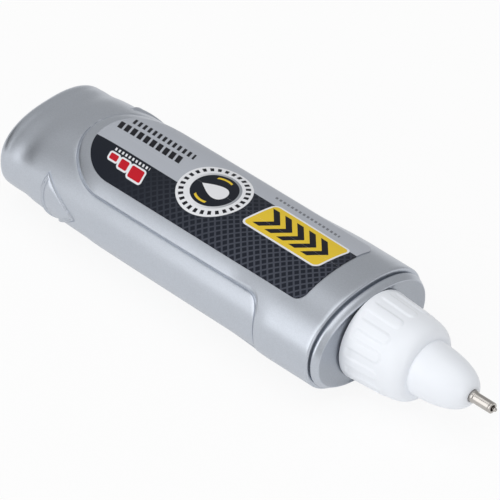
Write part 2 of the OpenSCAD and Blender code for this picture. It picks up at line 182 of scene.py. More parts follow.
class NodeSheet:
    """A node tree of a material, the world or a modifier, with one method that makes any node."""

    def __init__(self, tree: bpy.types.NodeTree) -> None:
        """Starts on an empty tree."""
        self.tree = tree
        tree.nodes.clear()

    def node(self, kind: str, settings: dict[str, Any] | None = None,
             inputs: dict[str | int, Any] | None = None) -> bpy.types.Node:
        """Makes a node of any type.

        Args:
            kind: Blender's name of the node type.
            settings: Properties that are set before the sockets, such as a Math node's operation.
            inputs: Values or links of the sockets, by name or number.

        Returns:
            The node.
        """
        made = self.tree.nodes.new(kind)
        for name, value in (settings or {}).items():
            setattr(made, name, value)
        for key, value in (inputs or {}).items():
            self._feed(made.inputs[key], value)
        return made

    def _feed(self, socket: bpy.types.NodeSocket, value: Any) -> None:
        """Links a socket or sets its value.

        Args:
            socket: The input socket.
            value: A wire, node or output socket to link, or a plain value.
        """
        if isinstance(value, Wire):
            self.tree.links.new(value.socket, socket)
        elif isinstance(value, bpy.types.Node):
            self.tree.links.new(value.outputs[0], socket)
        elif isinstance(value, bpy.types.NodeSocket):
            self.tree.links.new(value, socket)
        elif socket.type == "RGBA":
            socket.default_value = (*value, 1.0)
        else:
            socket.default_value = value

    def wire(self, node: bpy.types.Node, output: str | int = 0) -> Wire:
        """One output of a node as a wire."""
        return Wire(self, node.outputs[output])

    def mix(self, share: Wire, first: Any, second: Any) -> bpy.types.NodeSocket:
        """The first colour, going over to the second as share goes from 0 to 1."""
        inputs = {0: share, 6: first, 7: second}
        return self.node("ShaderNodeMix", {"data_type": "RGBA"}, inputs).outputs[2]

    def point(self) -> bpy.types.NodeSocket:
        """The shaded point in Object coordinates."""
        return self.node("ShaderNodeTexCoord").outputs["Object"]

    def pen_coordinates(self, pen: PenFrame) -> tuple[Wire, Wire, Wire]:
        """The point's place along, across and over the pen, from Object coordinates.

        Args:
            pen: Where the pen lies.

        Returns:
            u, v and w in mm.
        """
        parts = self.node("ShaderNodeSeparateXYZ", inputs={0: self.point()})
        x, y, z = (self.wire(parts, i) / MM for i in range(3))
        return x - pen.front_x, y, z - pen.axis_z

    def noise(self, size: float, detail: float = 2.0, stretch: Colour = WHITE) -> Wire:
        """Cloudy noise from 0 to 1 on Object coordinates.

        Args:
            size: Size of its features in mm.
            detail: How many finer layers it has.
            stretch: How much closer together the features are along each axis.

        Returns:
            The noise.
        """
        scale = [share / (size * MM) for share in stretch]
        scaled = self.node("ShaderNodeMapping", inputs={"Vector": self.point(), "Scale": scale})
        inputs = {"Vector": scaled, "Scale": 1.0, "Detail": detail}
        return self.wire(self.node("ShaderNodeTexNoise", inputs=inputs))

    def flakes(self, size: float) -> Wire:
        """A random value from 0 to 1 for each small cell.

        Args:
            size: Size of the cells in mm.

        Returns:
            The values.
        """
        inputs = {"Vector": self.point(), "Scale": 1 / (size * MM)}
        cells = self.node("ShaderNodeTexVoronoi", inputs=inputs)
        return self.wire(self.node("ShaderNodeSeparateColor", inputs={0: cells.outputs["Color"]}))

    def bump(self, height: Wire, depth: float) -> bpy.types.NodeSocket:
        """A normal from a height between 0 and 1 that stands for a depth in mm."""
        inputs = {"Distance": depth * MM, "Height": height}
        return self.node("ShaderNodeBump", inputs=inputs).outputs[0]


def shaded(colour: Colour, share: float) -> Colour:
    """The colour at a share of its brightness, up to white."""
    return tuple(min(1.0, part * share) for part in colour)


@dataclass(frozen=True)
class Finish:
    """What every finish has: a material name and the slot of the record that it belongs to."""

    name: str
    slot: str

    def material(self, pen: PenFrame) -> bpy.types.Material:
        """Makes the material.

        Args:
            pen: Where the pen lies, for patterns that follow it.

        Returns:
            The finished material.
        """
        made = bpy.data.materials.new(self.name)
        made.use_nodes = True
        sheet = NodeSheet(made.node_tree)
        shader = sheet.node("ShaderNodeBsdfPrincipled", inputs=self.surface(sheet, pen))
        sheet.node("ShaderNodeOutputMaterial", inputs={"Surface": shader})
        return made

    def surface(self, sheet: NodeSheet, pen: PenFrame) -> dict[str, Any]:
        """Values and links of the shader's sockets.

        Args:
            sheet: The material's node tree, to which the nodes are added.
            pen: Where the pen lies.

        Returns:
            What each socket gets, by its name.
        """
        raise NotImplementedError


@dataclass(frozen=True)
class SatinSilver(Finish):
    """Silver-pigmented plastic from the blow mould: satin, with fine flakes and a parting line."""

    colour: Colour = (0.530, 0.564, 0.620)
    metallic: float = 0.9
    ior: float = 1.48
    roughness: Span = (0.30, 0.36)
    flake_size: float = 0.12
    flake_contrast: float = 0.07
    flake_share: float = 0.6
    cloud_size: float = 6.0
    grain_size: float = 0.3
    grain_share: float = 0.15
    seam_w: float = 0.09
    bump_d: float = 0.012
    # Where the painted shade on the cap seat's face lies, and how far it darkens the colour.
    face_u: float = 1.3
    face_half: Span = (11.45, 7.1)
    face_power: float = 2.2
    face_soft: float = 0.05
    face_painted_shade: float = 0.22

    def surface(self, sheet: NodeSheet, pen: PenFrame) -> dict[str, Any]:
        """Flakes and slow clouds in the colour with painted shade on the seat's face, and a satin
        grain and the parting line in the bump.

        Args:
            sheet: The material's node tree, to which the nodes are added.
            pen: Where the pen lies.

        Returns:
            What each socket gets, by its name.
        """
        u, v, w = sheet.pen_coordinates(pen)
        # Painted shade: the cap seat's recessed face in front of the groove is darkened towards
        # black in the colour.
        across, up = abs(v) / self.face_half[0], abs(w) / self.face_half[1]
        outline = across ** self.face_power + up ** self.face_power
        face = (1.0 - u.inside(self.face_u)) * outline.inside(1.0, self.face_soft)
        flakes, clouds = sheet.flakes(self.flake_size), sheet.noise(self.cloud_size, detail=3.0)
        shade = (flakes * self.flake_share + clouds * (1 - self.flake_share)).clamped()
        metal = sheet.mix(shade, shaded(self.colour, 1 - self.flake_contrast),
                          shaded(self.colour, 1 + self.flake_contrast))
        grain = (sheet.noise(self.grain_size, detail=3.0) + flakes) * (self.grain_share / 2)
        seam = (1.0 - abs(w).inside(self.seam_w, self.seam_w)) * (1 - self.grain_share)
        return {
            "Base Color": sheet.mix(face * self.face_painted_shade, metal, BLACK),
            "Metallic": self.metallic,
            "IOR": self.ior,
            "Roughness": clouds.between(*self.roughness),
            "Normal": sheet.bump(grain + seam, self.bump_d),
        }


@dataclass(frozen=True)
class WhitePlastic(Finish):
    """Opaque white moulding with a soft gloss."""

    colour: Colour = (0.875, 0.905, 0.955)
    lift: float = 1.025
    ior: float = 1.46
    roughness: Span = (0.30, 0.38)
    cloud_size: float = 4.0
    ripple_size: float = 0.8
    bump_d: float = 0.004

    def surface(self, sheet: NodeSheet, pen: PenFrame) -> dict[str, Any]:
        """Barely uneven white with faint ripples of the moulding.

        Args:
            sheet: The material's node tree, to which the nodes are added.
            pen: Where the pen lies.

        Returns:
            What each socket gets, by its name.
        """
        clouds = sheet.noise(self.cloud_size, detail=3.0)
        return {
            "Base Color": sheet.mix(clouds, self.colour, shaded(self.colour, self.lift)),
            "IOR": self.ior,
            "Roughness": clouds.between(*self.roughness),
            "Normal": sheet.bump(sheet.noise(self.ripple_size, detail=3.0), self.bump_d),
        }


@dataclass(frozen=True)
class TurnedSteel(Finish):
    """Bright turned or drawn steel, with fine lines round the pen's axis or along it."""

    colour: Colour = (0.62, 0.59, 0.56)
    roughness: Span = (0.15, 0.27)
    line_size: float = 0.05
    stretch: Colour = (1.0, 0.02, 0.02)
    contrast: float = 0.14
    line_share: float = 0.6
    cloud_size: float = 1.5
    bump_d: float = 0.0015

    def surface(self, sheet: NodeSheet, pen: PenFrame) -> dict[str, Any]:
        """Metal with fine lines, which vary its colour and gloss and stand in its bump.

        Args:
            sheet: The material's node tree, to which the nodes are added.
            pen: Where the pen lies.

        Returns:
            What each socket gets, by its name.
        """
        lines = sheet.noise(self.line_size, stretch=self.stretch)
        clouds = sheet.noise(self.cloud_size, detail=3.0)
        shade = lines * self.line_share + clouds * (1 - self.line_share)
        return {
            "Base Color": sheet.mix(shade, shaded(self.colour, 1 - self.contrast), self.colour),
            "Metallic": 1.0,
            "Roughness": lines.between(*self.roughness),
            "Normal": sheet.bump(lines, self.bump_d),
        }


@dataclass(frozen=True)
class MattPlastic(Finish):
    """Small inner moulding or foam: matt, with a fine grain."""

    colour: Colour
    roughness: Span
    grain_size: float
    bump_d: float
    contrast: float = 0.12

    def surface(self, sheet: NodeSheet, pen: PenFrame) -> dict[str, Any]:
        """A fine grain in the colour, the gloss and the bump.

        Args:
            sheet: The material's node tree, to which the nodes are added.
            pen: Where the pen lies.

        Returns:
            What each socket gets, by its name.
        """
        grain = sheet.noise(self.grain_size, detail=4.0)
        return {
            "Base Color": sheet.mix(grain, shaded(self.colour, 1 - self.contrast), self.colour),
            "Roughness": grain.between(*self.roughness),
            "Normal": sheet.bump(grain, self.bump_d),
        }


@dataclass(frozen=True)
class BarRow:
    """A row of bars on the label: where it runs along and across the pen, and the bars' sizes."""

    ends: Span
    sides: Span
    pitch: float
    bar_w: float


@dataclass(frozen=True)
class Field2D:
    """Shapes on the label, seen from above, as signed distances in mm: negative inside."""

    u: Wire
    v: Wire

    def leaning(self, slope: float) -> "Field2D":
        """The same field with its shapes leaning towards the tip as they go up."""
        return Field2D(self.u - self.v * slope, self.v)

    def away_from(self, u: float, v: float) -> Wire:
        """Distance from a point."""
        du, dv = self.u - u, self.v - v
        return (du * du + dv * dv).root()

    def box(self, ends: Span, sides: Span, r: float = 0.0) -> Wire:
        """Distance outside a box with rounded corners.

        Args:
            ends: Where it starts and ends along the pen.
            sides: Where it starts and ends across the pen.
            r: Radius of its corners.

        Returns:
            The distance.
        """
        over_u = abs(self.u - sum(ends) / 2) - ((ends[1] - ends[0]) / 2 - r)
        over_v = abs(self.v - sum(sides) / 2) - ((sides[1] - sides[0]) / 2 - r)
        out_u, out_v = over_u.most(0.0), over_v.most(0.0)
        return (out_u * out_u + out_v * out_v).root() + over_u.most(over_v).least(0.0) - r

    def bars(self, row: BarRow) -> Wire:
        """1 on the bars of a row, and 0 elsewhere."""
        along = ((self.u - row.ends[0]) / row.pitch).fraction() * row.pitch
        return self.box(row.ends, row.sides).inside() * along.inside(row.bar_w)


@dataclass(frozen=True)
class PrintedFilm(Finish):
    """Glossy label film: a silver band and a dark field with a fine crossed grid, a round badge,
    a yellow plate and small generic marks."""

    silver: Colour = (0.455, 0.480, 0.530)
    dark: Colour = (0.011, 0.014, 0.022)
    grid_line: Colour = (0.058, 0.065, 0.086)
    grid_cell: Colour = (0.009, 0.012, 0.021)
    ink: Colour = (0.012, 0.012, 0.017)
    white: Colour = (0.80, 0.81, 0.84)
    grey: Colour = (0.30, 0.32, 0.35)
    yellow: Colour = (0.79, 0.56, 0.042)
    red: Colour = (0.56, 0.010, 0.022)
    gloss: float = 0.15
    roughness: Span = (0.34, 0.40)
    haze_size: float = 5.0
    ripple_size: float = 0.5
    bump_d: float = 0.002
    rear_v: float = -2.3
    front_v: float = 4.0
    jog_u: float = -31.0
    grid_pitch: float = 0.95
    grid_bar: float = 0.29
    grid_rise_u: Span = (-48.0, -16.0)
    grid_fade_v: Span = (-4.0, 3.5)
    grid_fade: float = 0.5
    mark_lean: float = -0.35
    long_row: BarRow = BarRow((-52.2, -38.6), (0.9, 2.5), 1.36, 0.95)
    short_row: BarRow = BarRow((-50.4, -37.4), (3.2, 4.5), 1.05, 0.55)
    fine_row: BarRow = BarRow((-21.7, -8.6), (5.55, 6.15), 0.8, 0.45)
    tick_row: BarRow = BarRow((-49.9, -42.6), (-3.3, -2.75), 0.72, 0.36)
    fine_ink: float = 0.6
    step_ends: tuple[Span, ...] = ((-45.6, -43.0), (-47.9, -46.2), (-50.1, -48.5))
    step_low_v: tuple[float, ...] = (-6.0, -5.5, -5.0)
    step_high_v: float = -3.9
    step_corner_r: tuple[float, ...] = (0.3, 0.25, 0.2)
    border: float = 0.33
    plate_ends: Span = (-22.95, -7.38)
    plate_sides: Span = (-2.4, 4.45)
    plate_corner_r: float = 1.1
    plate_lean: float = 0.17
    arrow_margin: Span = (3.4, 1.0)
    arrow_margin_v: float = 1.15
    arrow_pitch: float = 2.45
    arrow_w: float = 1.35
    badge_u: float = -31.0
    badge_v: float = 0.14
    badge_r: float = 5.9
    dial_ticks: int = 28
    dial: Span = (4.7, 5.48)
    dial_soft: float = 0.05
    disc_r: float = 3.75
    bevel_w: float = 0.42
    bevel_slope: float = 0.1
    drop_start: float = -2.6
    drop_l: float = 5.0
    drop_w: float = 3.0
    arc_r: float = 3.0
    arc_w: float = 0.2
    arc_half: float = 1.3
    arc_back: float = 0.4

    def surface(self, sheet: NodeSheet, pen: PenFrame) -> dict[str, Any]:
        """Lays the fields and marks over each other, from the bottom up.

        Args:
            sheet: The material's node tree, to which the nodes are added.
            pen: Where the pen lies.

        Returns:
            What each socket gets, by its name.
        """
        u, v, _ = sheet.pen_coordinates(pen)
        area = Field2D(u, v)
        colour = self._ground(sheet, area)
        for layer in (self._marks, self._plate, self._badge):
            colour = layer(sheet, area, colour)
        return {
            "Base Color": colour,
            "Roughness": sheet.noise(self.haze_size).between(*self.roughness),
            "Specular IOR Level": self.gloss,
            "Normal": sheet.bump(sheet.noise(self.ripple_size), self.bump_d),
        }

    def _ground(self, sheet: NodeSheet, area: Field2D) -> Any:
        """Silver band, and the dark field with its grid, which fades towards the tail.

        Args:
            sheet: The material's node tree.
            area: The film, seen from above.

        Returns:
            Their colour.
        """
        rear = area.u.inside(self.jog_u)
        field_share = rear * area.v.inside(self.rear_v)
        field_share += (1.0 - rear) * area.v.inside(self.front_v)
        across = self.grid_pitch * math.sqrt(2)
        one = abs(((area.u + area.v) / across).fraction() - 0.5)
        other = abs(((area.u - area.v) / across).fraction() - 0.5)
        cell = (one.most(other) * self.grid_pitch).inside((self.grid_pitch - self.grid_bar) / 2)
        grid = sheet.mix(cell, self.grid_line, self.grid_cell)
        fade = 1.0 - self.grid_fade * area.v.rise(*self.grid_fade_v)
        dark_field = sheet.mix(area.u.rise(*self.grid_rise_u) * fade, self.dark, grid)
        return sheet.mix(field_share.clamped(), self.silver, dark_field)

    def _marks(self, sheet: NodeSheet, area: Field2D, colour: Any) -> Any:
        """Rows of slanted bars on the silver band, and red steps with ticks on the dark field.

        Args:
            sheet: The material's node tree.
            area: The film, seen from above.
            colour: What lies under it.

        Returns:
            The colour with it.
        """
        slanted = area.leaning(self.mark_lean)
        rows = slanted.bars(self.long_row).most(slanted.bars(self.short_row))
        colour = sheet.mix(rows, colour, self.ink)
        colour = sheet.mix(slanted.bars(self.fine_row) * self.fine_ink, colour, self.ink)
        first, *others = (
            slanted.box(ends, (low, self.step_high_v), r)
            for ends, low, r in zip(self.step_ends, self.step_low_v, self.step_corner_r)
        )
        steps = first
        for other in others:
            steps = steps.least(other)
        colour = sheet.mix(steps.inside(self.border), colour, self.white)
        colour = sheet.mix(steps.inside(), colour, self.red)
        return sheet.mix(slanted.bars(self.tick_row), colour, self.white)

    def _plate(self, sheet: NodeSheet, area: Field2D, colour: Any) -> Any:
        """Yellow plate with a white border and arrowheads that point to the tip.

        Args:
            sheet: The material's node tree.
            area: The film, seen from above.
            colour: What lies under it.

        Returns:
            The colour with it.
        """
        (u0, u1), (v0, v1) = self.plate_ends, self.plate_sides
        lean = area.leaning(self.plate_lean)
        plate = lean.box(self.plate_ends, self.plate_sides, self.plate_corner_r)
        colour = sheet.mix(plate.inside(), colour, self.white)
        colour = sheet.mix(plate.inside(-self.border), colour, self.yellow)
        folded = Field2D(area.u + abs(area.v - (v0 + v1) / 2), area.v)
        back, front = self.arrow_margin
        sides = (v0 + self.arrow_margin_v, v1 - self.arrow_margin_v)
        arrows = BarRow((u0 + back, u1 - front), sides, self.arrow_pitch, self.arrow_w)
        return sheet.mix(folded.bars(arrows), colour, self.ink)

    def _badge(self, sheet: NodeSheet, area: Field2D, colour: Any) -> Any:
        """Round badge: a white ring with ticks, a grey bevel, a dark disc, a drop and two arcs.

        Args:
            sheet: The material's node tree.
            area: The film, seen from above.
            colour: What lies under it.

        Returns:
            The colour with it.
        """
        away = area.away_from(self.badge_u, self.badge_v)
        colour = sheet.mix(away.inside(self.badge_r), colour, self.white)
        du, dv = area.u - self.badge_u, area.v - self.badge_v
        turns = du.math("ARCTAN2", dv, du) / TURN
        notch = (turns * self.dial_ticks + (self.dial_ticks + 0.5)).fraction()
        inner, outer = self.dial
        dial = away.inside(outer) * (1.0 - away.inside(inner))
        dial *= notch.inside(0.5, self.dial_soft)
        colour = sheet.mix(dial, colour, self.ink)
        bevel = sheet.mix(((du + dv) * self.bevel_slope + 0.5).clamped(), self.white, self.grey)
        colour = sheet.mix(away.inside(self.disc_r + self.bevel_w), colour, bevel)
        colour = sheet.mix(away.inside(self.disc_r), colour, self.dark)
        share = ((du - self.drop_start) / self.drop_l).clamped()
        half = share * (1.0 - share * share).most(0.0).root() * self.drop_w
        colour = sheet.mix((abs(dv) - half).inside(), colour, self.white)
        arcs = abs(away - self.arc_r).inside(self.arc_w)
        arcs *= abs(du + self.arc_back).inside(self.arc_half)
        return sheet.mix(arcs, colour, self.yellow)


class Finishes(Enum):
    """The pen's finishes."""

    BARREL = SatinSilver("satin_silver_plastic", "silver_plastic")
    LABEL = PrintedFilm("printed_label_film", "label_film")
    NOZZLE = WhitePlastic("bright_white_moulding", "white_plastic")
    TUBE = TurnedSteel("drawn_tube_steel", "tip_steel",
                       line_size=0.3, stretch=(0.03, 1.0, 1.0), contrast=0.4)
    SPRING = TurnedSteel("spring_wire_steel", "spring_steel",
                         (0.52, 0.52, 0.53), (0.23, 0.35), line_size=0.03)
    BALL = TurnedSteel("polished_ball_steel", "ball_steel",
                       (0.58, 0.58, 0.59), (0.09, 0.21), line_size=0.4)
    VALVE = MattPlastic("valve_moulding", "valve_plastic",
                        (0.70, 0.70, 0.66), (0.40, 0.50), grain_size=0.2, bump_d=0.006)
    WASHER = MattPlastic("closed_cell_foam", "washer_foam",
                         (0.80, 0.79, 0.76), (0.80, 0.90), grain_size=0.22, bump_d=0.04)

    @cache
    def made(self, pen: PenFrame) -> bpy.types.Material:
        """The finish's material, made once."""
        return self.value.material(pen)


def new_object(name: str, data: bpy.types.ID) -> bpy.types.Object:
    """A new object in the scene, at the origin.

    Args:
        name: Name of the object.
        data: Its mesh, lamp or camera.

    Returns:
        The object.
    """
    made = bpy.data.objects.new(name, data)
    bpy.context.scene.collection.objects.link(made)
    return made


class MeshDraft:
    """Points and faces of a piece while it is built, in mm along the pen."""

    merge_distance = 0.002
    sharp_angle = 38.0

    def __init__(self) -> None:
        """Starts empty."""
        self.points: list[np.ndarray] = []
        self.faces: list[Sequence[int]] = []
        self.count = 0

    def add(self, points: np.ndarray) -> np.ndarray:
        """Adds points.

        Args:
            points: One or more points (u, v, w).

        Returns:
            Their numbers in the draft.
        """
        self.points.append(np.asarray(points, float).reshape(-1, 3))
        numbers = np.arange(self.count, self.count + len(self.points[-1]))
        self.count += len(numbers)
        return numbers

    def add_ring(self, u: float, outline: np.ndarray) -> np.ndarray:
        """Adds a ring of points (v, w) at one place along the pen, and returns their numbers."""
        return self.add(np.column_stack([np.full(len(outline), u), outline]))

    def add_pole(self, u: float) -> np.ndarray:
        """Adds a point on the pen's axis, which closes a skin, and returns its number."""
        return self.add(np.array([u, 0.0, 0.0]))

    def add_faces(self, numbers: np.ndarray, faces: Sequence[Sequence[int]]) -> None:
        """Adds faces whose corners are places in a list of point numbers."""
        self.faces += [[int(numbers[i]) for i in face] for face in faces]

    def skin(self, rings: Sequence[np.ndarray]) -> None:
        """Joins rings with quads, or with triangles where a ring is a single point.

        Args:
            rings: Point numbers of each ring, in order. All but the poles have equal length.
        """
        for one, other in zip(rings[:-1], rings[1:]):
            n = max(len(one), len(other))
            for j, k in zip(range(n), (*range(1, n), 0)):
                corners = ((one, j), (other, j), (other, k), (one, k))
                face = [int(ring[i % len(ring)]) for ring, i in corners]
                self.faces.append(list(dict.fromkeys(face)))

    def finished(self, name: str, pen: PenFrame, finish: Finishes) -> bpy.types.Object:
        """Makes the object, with doubles merged and faces outwards.

        Args:
            name: Name of the piece.
            pen: Where the pen lies.
            finish: Finish of the piece.

        Returns:
            The object, at the origin, with its place in its mesh.
        """
        mesh = bpy.data.meshes.new(name)
        mesh.from_pydata(pen.place(np.concatenate(self.points)).tolist(), [], self.faces)
        work = bmesh.new()
        work.from_mesh(mesh)
        bmesh.ops.remove_doubles(work, verts=work.verts, dist=self.merge_distance * MM)
        bmesh.ops.recalc_face_normals(work, faces=work.faces)
        for face in work.faces:
            face.smooth = True
        work.to_mesh(mesh)
        work.free()
        mesh.set_sharp_from_angle(angle=math.radians(self.sharp_angle))
        mesh.materials.append(finish.made(pen))
        return new_object(name, mesh)


def settle(piece: bpy.types.Object, body: str, finish: Finishes,
           *nodes: str) -> bpy.types.Object:
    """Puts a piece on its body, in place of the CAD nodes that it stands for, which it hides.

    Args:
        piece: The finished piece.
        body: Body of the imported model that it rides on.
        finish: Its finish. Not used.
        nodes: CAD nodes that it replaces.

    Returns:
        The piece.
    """
    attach(piece, body)
    if nodes:
        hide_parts(*nodes)
    log.info("%s: %d faces on body %s", piece.name, len(piece.data.polygons), body)
    return piece


def eased(profile: Sequence[Span], radius: float, steps: int = 3) -> list[Span]:
    """Rounds the corners of an open profile.

    Args:
        profile: Points (u, r) of the profile, in mm.
        radius: Reach of each rounding along its two edges, at most a third of the shorter one.
        steps: Pieces in each rounding.

    Returns:
        The profile with a short arc in place of each corner that turns by more than a little.
    """
    points = [Vector(point) for point in profile]
    made = [profile[0]]
    for before, here, after in zip(points[:-2], points[1:-1], points[2:]):
        back, ahead = before - here, after - here
        if min(back.length, ahead.length) < TINY or back.angle(ahead) > STRAIGHT:
            made.append(tuple(here))
            continue
        reach = min(radius, back.length / 3, ahead.length / 3)
        start, end = here + back.normalized() * reach, here + ahead.normalized() * reach
        for t in np.linspace(0.0, 1.0, steps + 1):
            made.append(tuple(start * (1 - t) ** 2 + here * (2 * t * (1 - t)) + end * t ** 2))
    return [*made, profile[-1]]


def turned(name: str, profile: Sequence[Span], pen: PenFrame, finish: Finishes,
           segments: int, closed: bool = False) -> bpy.types.Object:
    """A piece turned about the pen's axis.

    Args:
        name: Name of the piece.
        profile: Points (u, r) in mm. A radius of 0 closes an end in a pole.
        pen: Where the pen lies.
        finish: Finish of the piece.
        segments: Segments round the axis.
        closed: Whether the profile is a ring, as on a tube.

    Returns:
        The finished object.
    """
    draft = MeshDraft()
    angles = np.arange(segments) * TURN / segments
    circle = np.stack([np.cos(angles), np.sin(angles)], 1)
    rings = [draft.add_pole(u) if r < TINY else draft.add_ring(u, r * circle) for u, r in profile]
    draft.skin(rings + rings[:1] if closed else rings)
    return draft.finished(name, pen, finish)


def signed_power(value: np.ndarray, power: float) -> np.ndarray:
    """The power of the value's size, with the value's sign."""
    return np.sign(value) * np.abs(value) ** power


def smooth_share(value: np.ndarray) -> np.ndarray:
    """0 to 1, with soft ends."""
    share = np.clip(value, 0.0, 1.0)
    return share * share * (3 - 2 * share)


def rounding(power: float, degrees: Sequence[float]) -> list[Span]:
    """A rounded end of size 1.

    Args:
        power: Exponent of its curve: 2 is a quarter circle, and more is squarer.
        degrees: Places round the end, from 0 at its start to 90 at its tip.

    Returns:
        How far along the end each place is, and what is left of the size there.
    """
    along = np.sin(np.radians(degrees))
    return list(zip(along, (1 - along ** power) ** (1 / power)))


def along_line(points: np.ndarray, step: float) -> np.ndarray:
    """Points at even steps along a line.

    Args:
        points: Corners of the line.
        step: About how far apart the new points are.

    Returns:
        The new points, with both ends of the line.
    """
    lengths = np.concatenate([[0.0], np.cumsum(np.hypot(*np.diff(points, axis=0).T))])
    places = np.linspace(0.0, lengths[-1], max(2, round(lengths[-1] / step) + 1))
    return np.stack([np.interp(places, lengths, points[:, i]) for i in (0, 1)], 1)


def beside_line(points: np.ndarray, distance: float) -> np.ndarray:
    """The line moved sideways.

    Args:
        points: Points of the line.
        distance: How far it moves to its left.

    Returns:
        The moved points.
    """
    along = np.gradient(points, axis=0)
    along /= np.hypot(*along.T)[:, None]
    return points + distance * np.stack([-along[:, 1], along[:, 0]], 1)


def inset_corners(corners: np.ndarray, distance: float) -> np.ndarray:
    """Corners of a convex outline, drawn in by a distance on every side.

    Args:
        corners: The outline's corners, in order.
        distance: How far each side moves inwards.

    Returns:
        The corners of the smaller outline.
    """
    made = []
    middle = corners.mean(0)
    for before, here, after in zip(np.roll(corners, 1, 0), corners, np.roll(corners, -1, 0)):
        normals, reaches = [], []
        for start, end in ((before, here), (here, after)):
            normal = np.array([start[1] - end[1], end[0] - start[0]]) / np.hypot(*(end - start))
            normal *= -1 if normal @ (middle - here) < 0 else 1
            normals.append(normal)
            reaches.append(normal @ here + distance)
        made.append(np.linalg.solve(np.array(normals), np.array(reaches)))
    return np.array(made)


@dataclass(frozen=True)
class Oval:
    """Oval section: half-width, half-thickness and exponent, as numbers or as one array each."""

    a: Any
    b: Any
    power: Any

    @classmethod
    def sized(cls, size: Span, power: float = 2.0) -> "Oval":
        """The section with a whole width and thickness. With the power 2 it is an ellipse."""
        return cls(size[0] / 2, size[1] / 2, power)

    def grown(self, out: Any) -> "Oval":
        """The section with its half-sizes larger by out."""
        return Oval(self.a + out, self.b + out, self.power)

    def shrunk(self, share: float) -> "Oval":
        """The section at a share of its size."""
        return Oval(self.a * share, self.b * share, self.power)

    def towards(self, other: "Oval", share: Any) -> "Oval":
        """The section at a share of the way to another."""
        return Oval(self.a + (other.a - self.a) * share, self.b + (other.b - self.b) * share,
                    self.power + (other.power - self.power) * share)

    def ring(self, angle: np.ndarray) -> np.ndarray:
        """Points (v, w) at the given angles."""
        return np.stack([self.a * signed_power(np.cos(angle), 2 / self.power),
                         self.b * signed_power(np.sin(angle), 2 / self.power)], 1)

    def height(self, v: np.ndarray) -> np.ndarray:
        """Height over the middle at v across."""
        rest = np.clip(1 - np.abs(v / self.a) ** self.power, 0.0, None)
        return self.b * rest ** (1 / self.power)


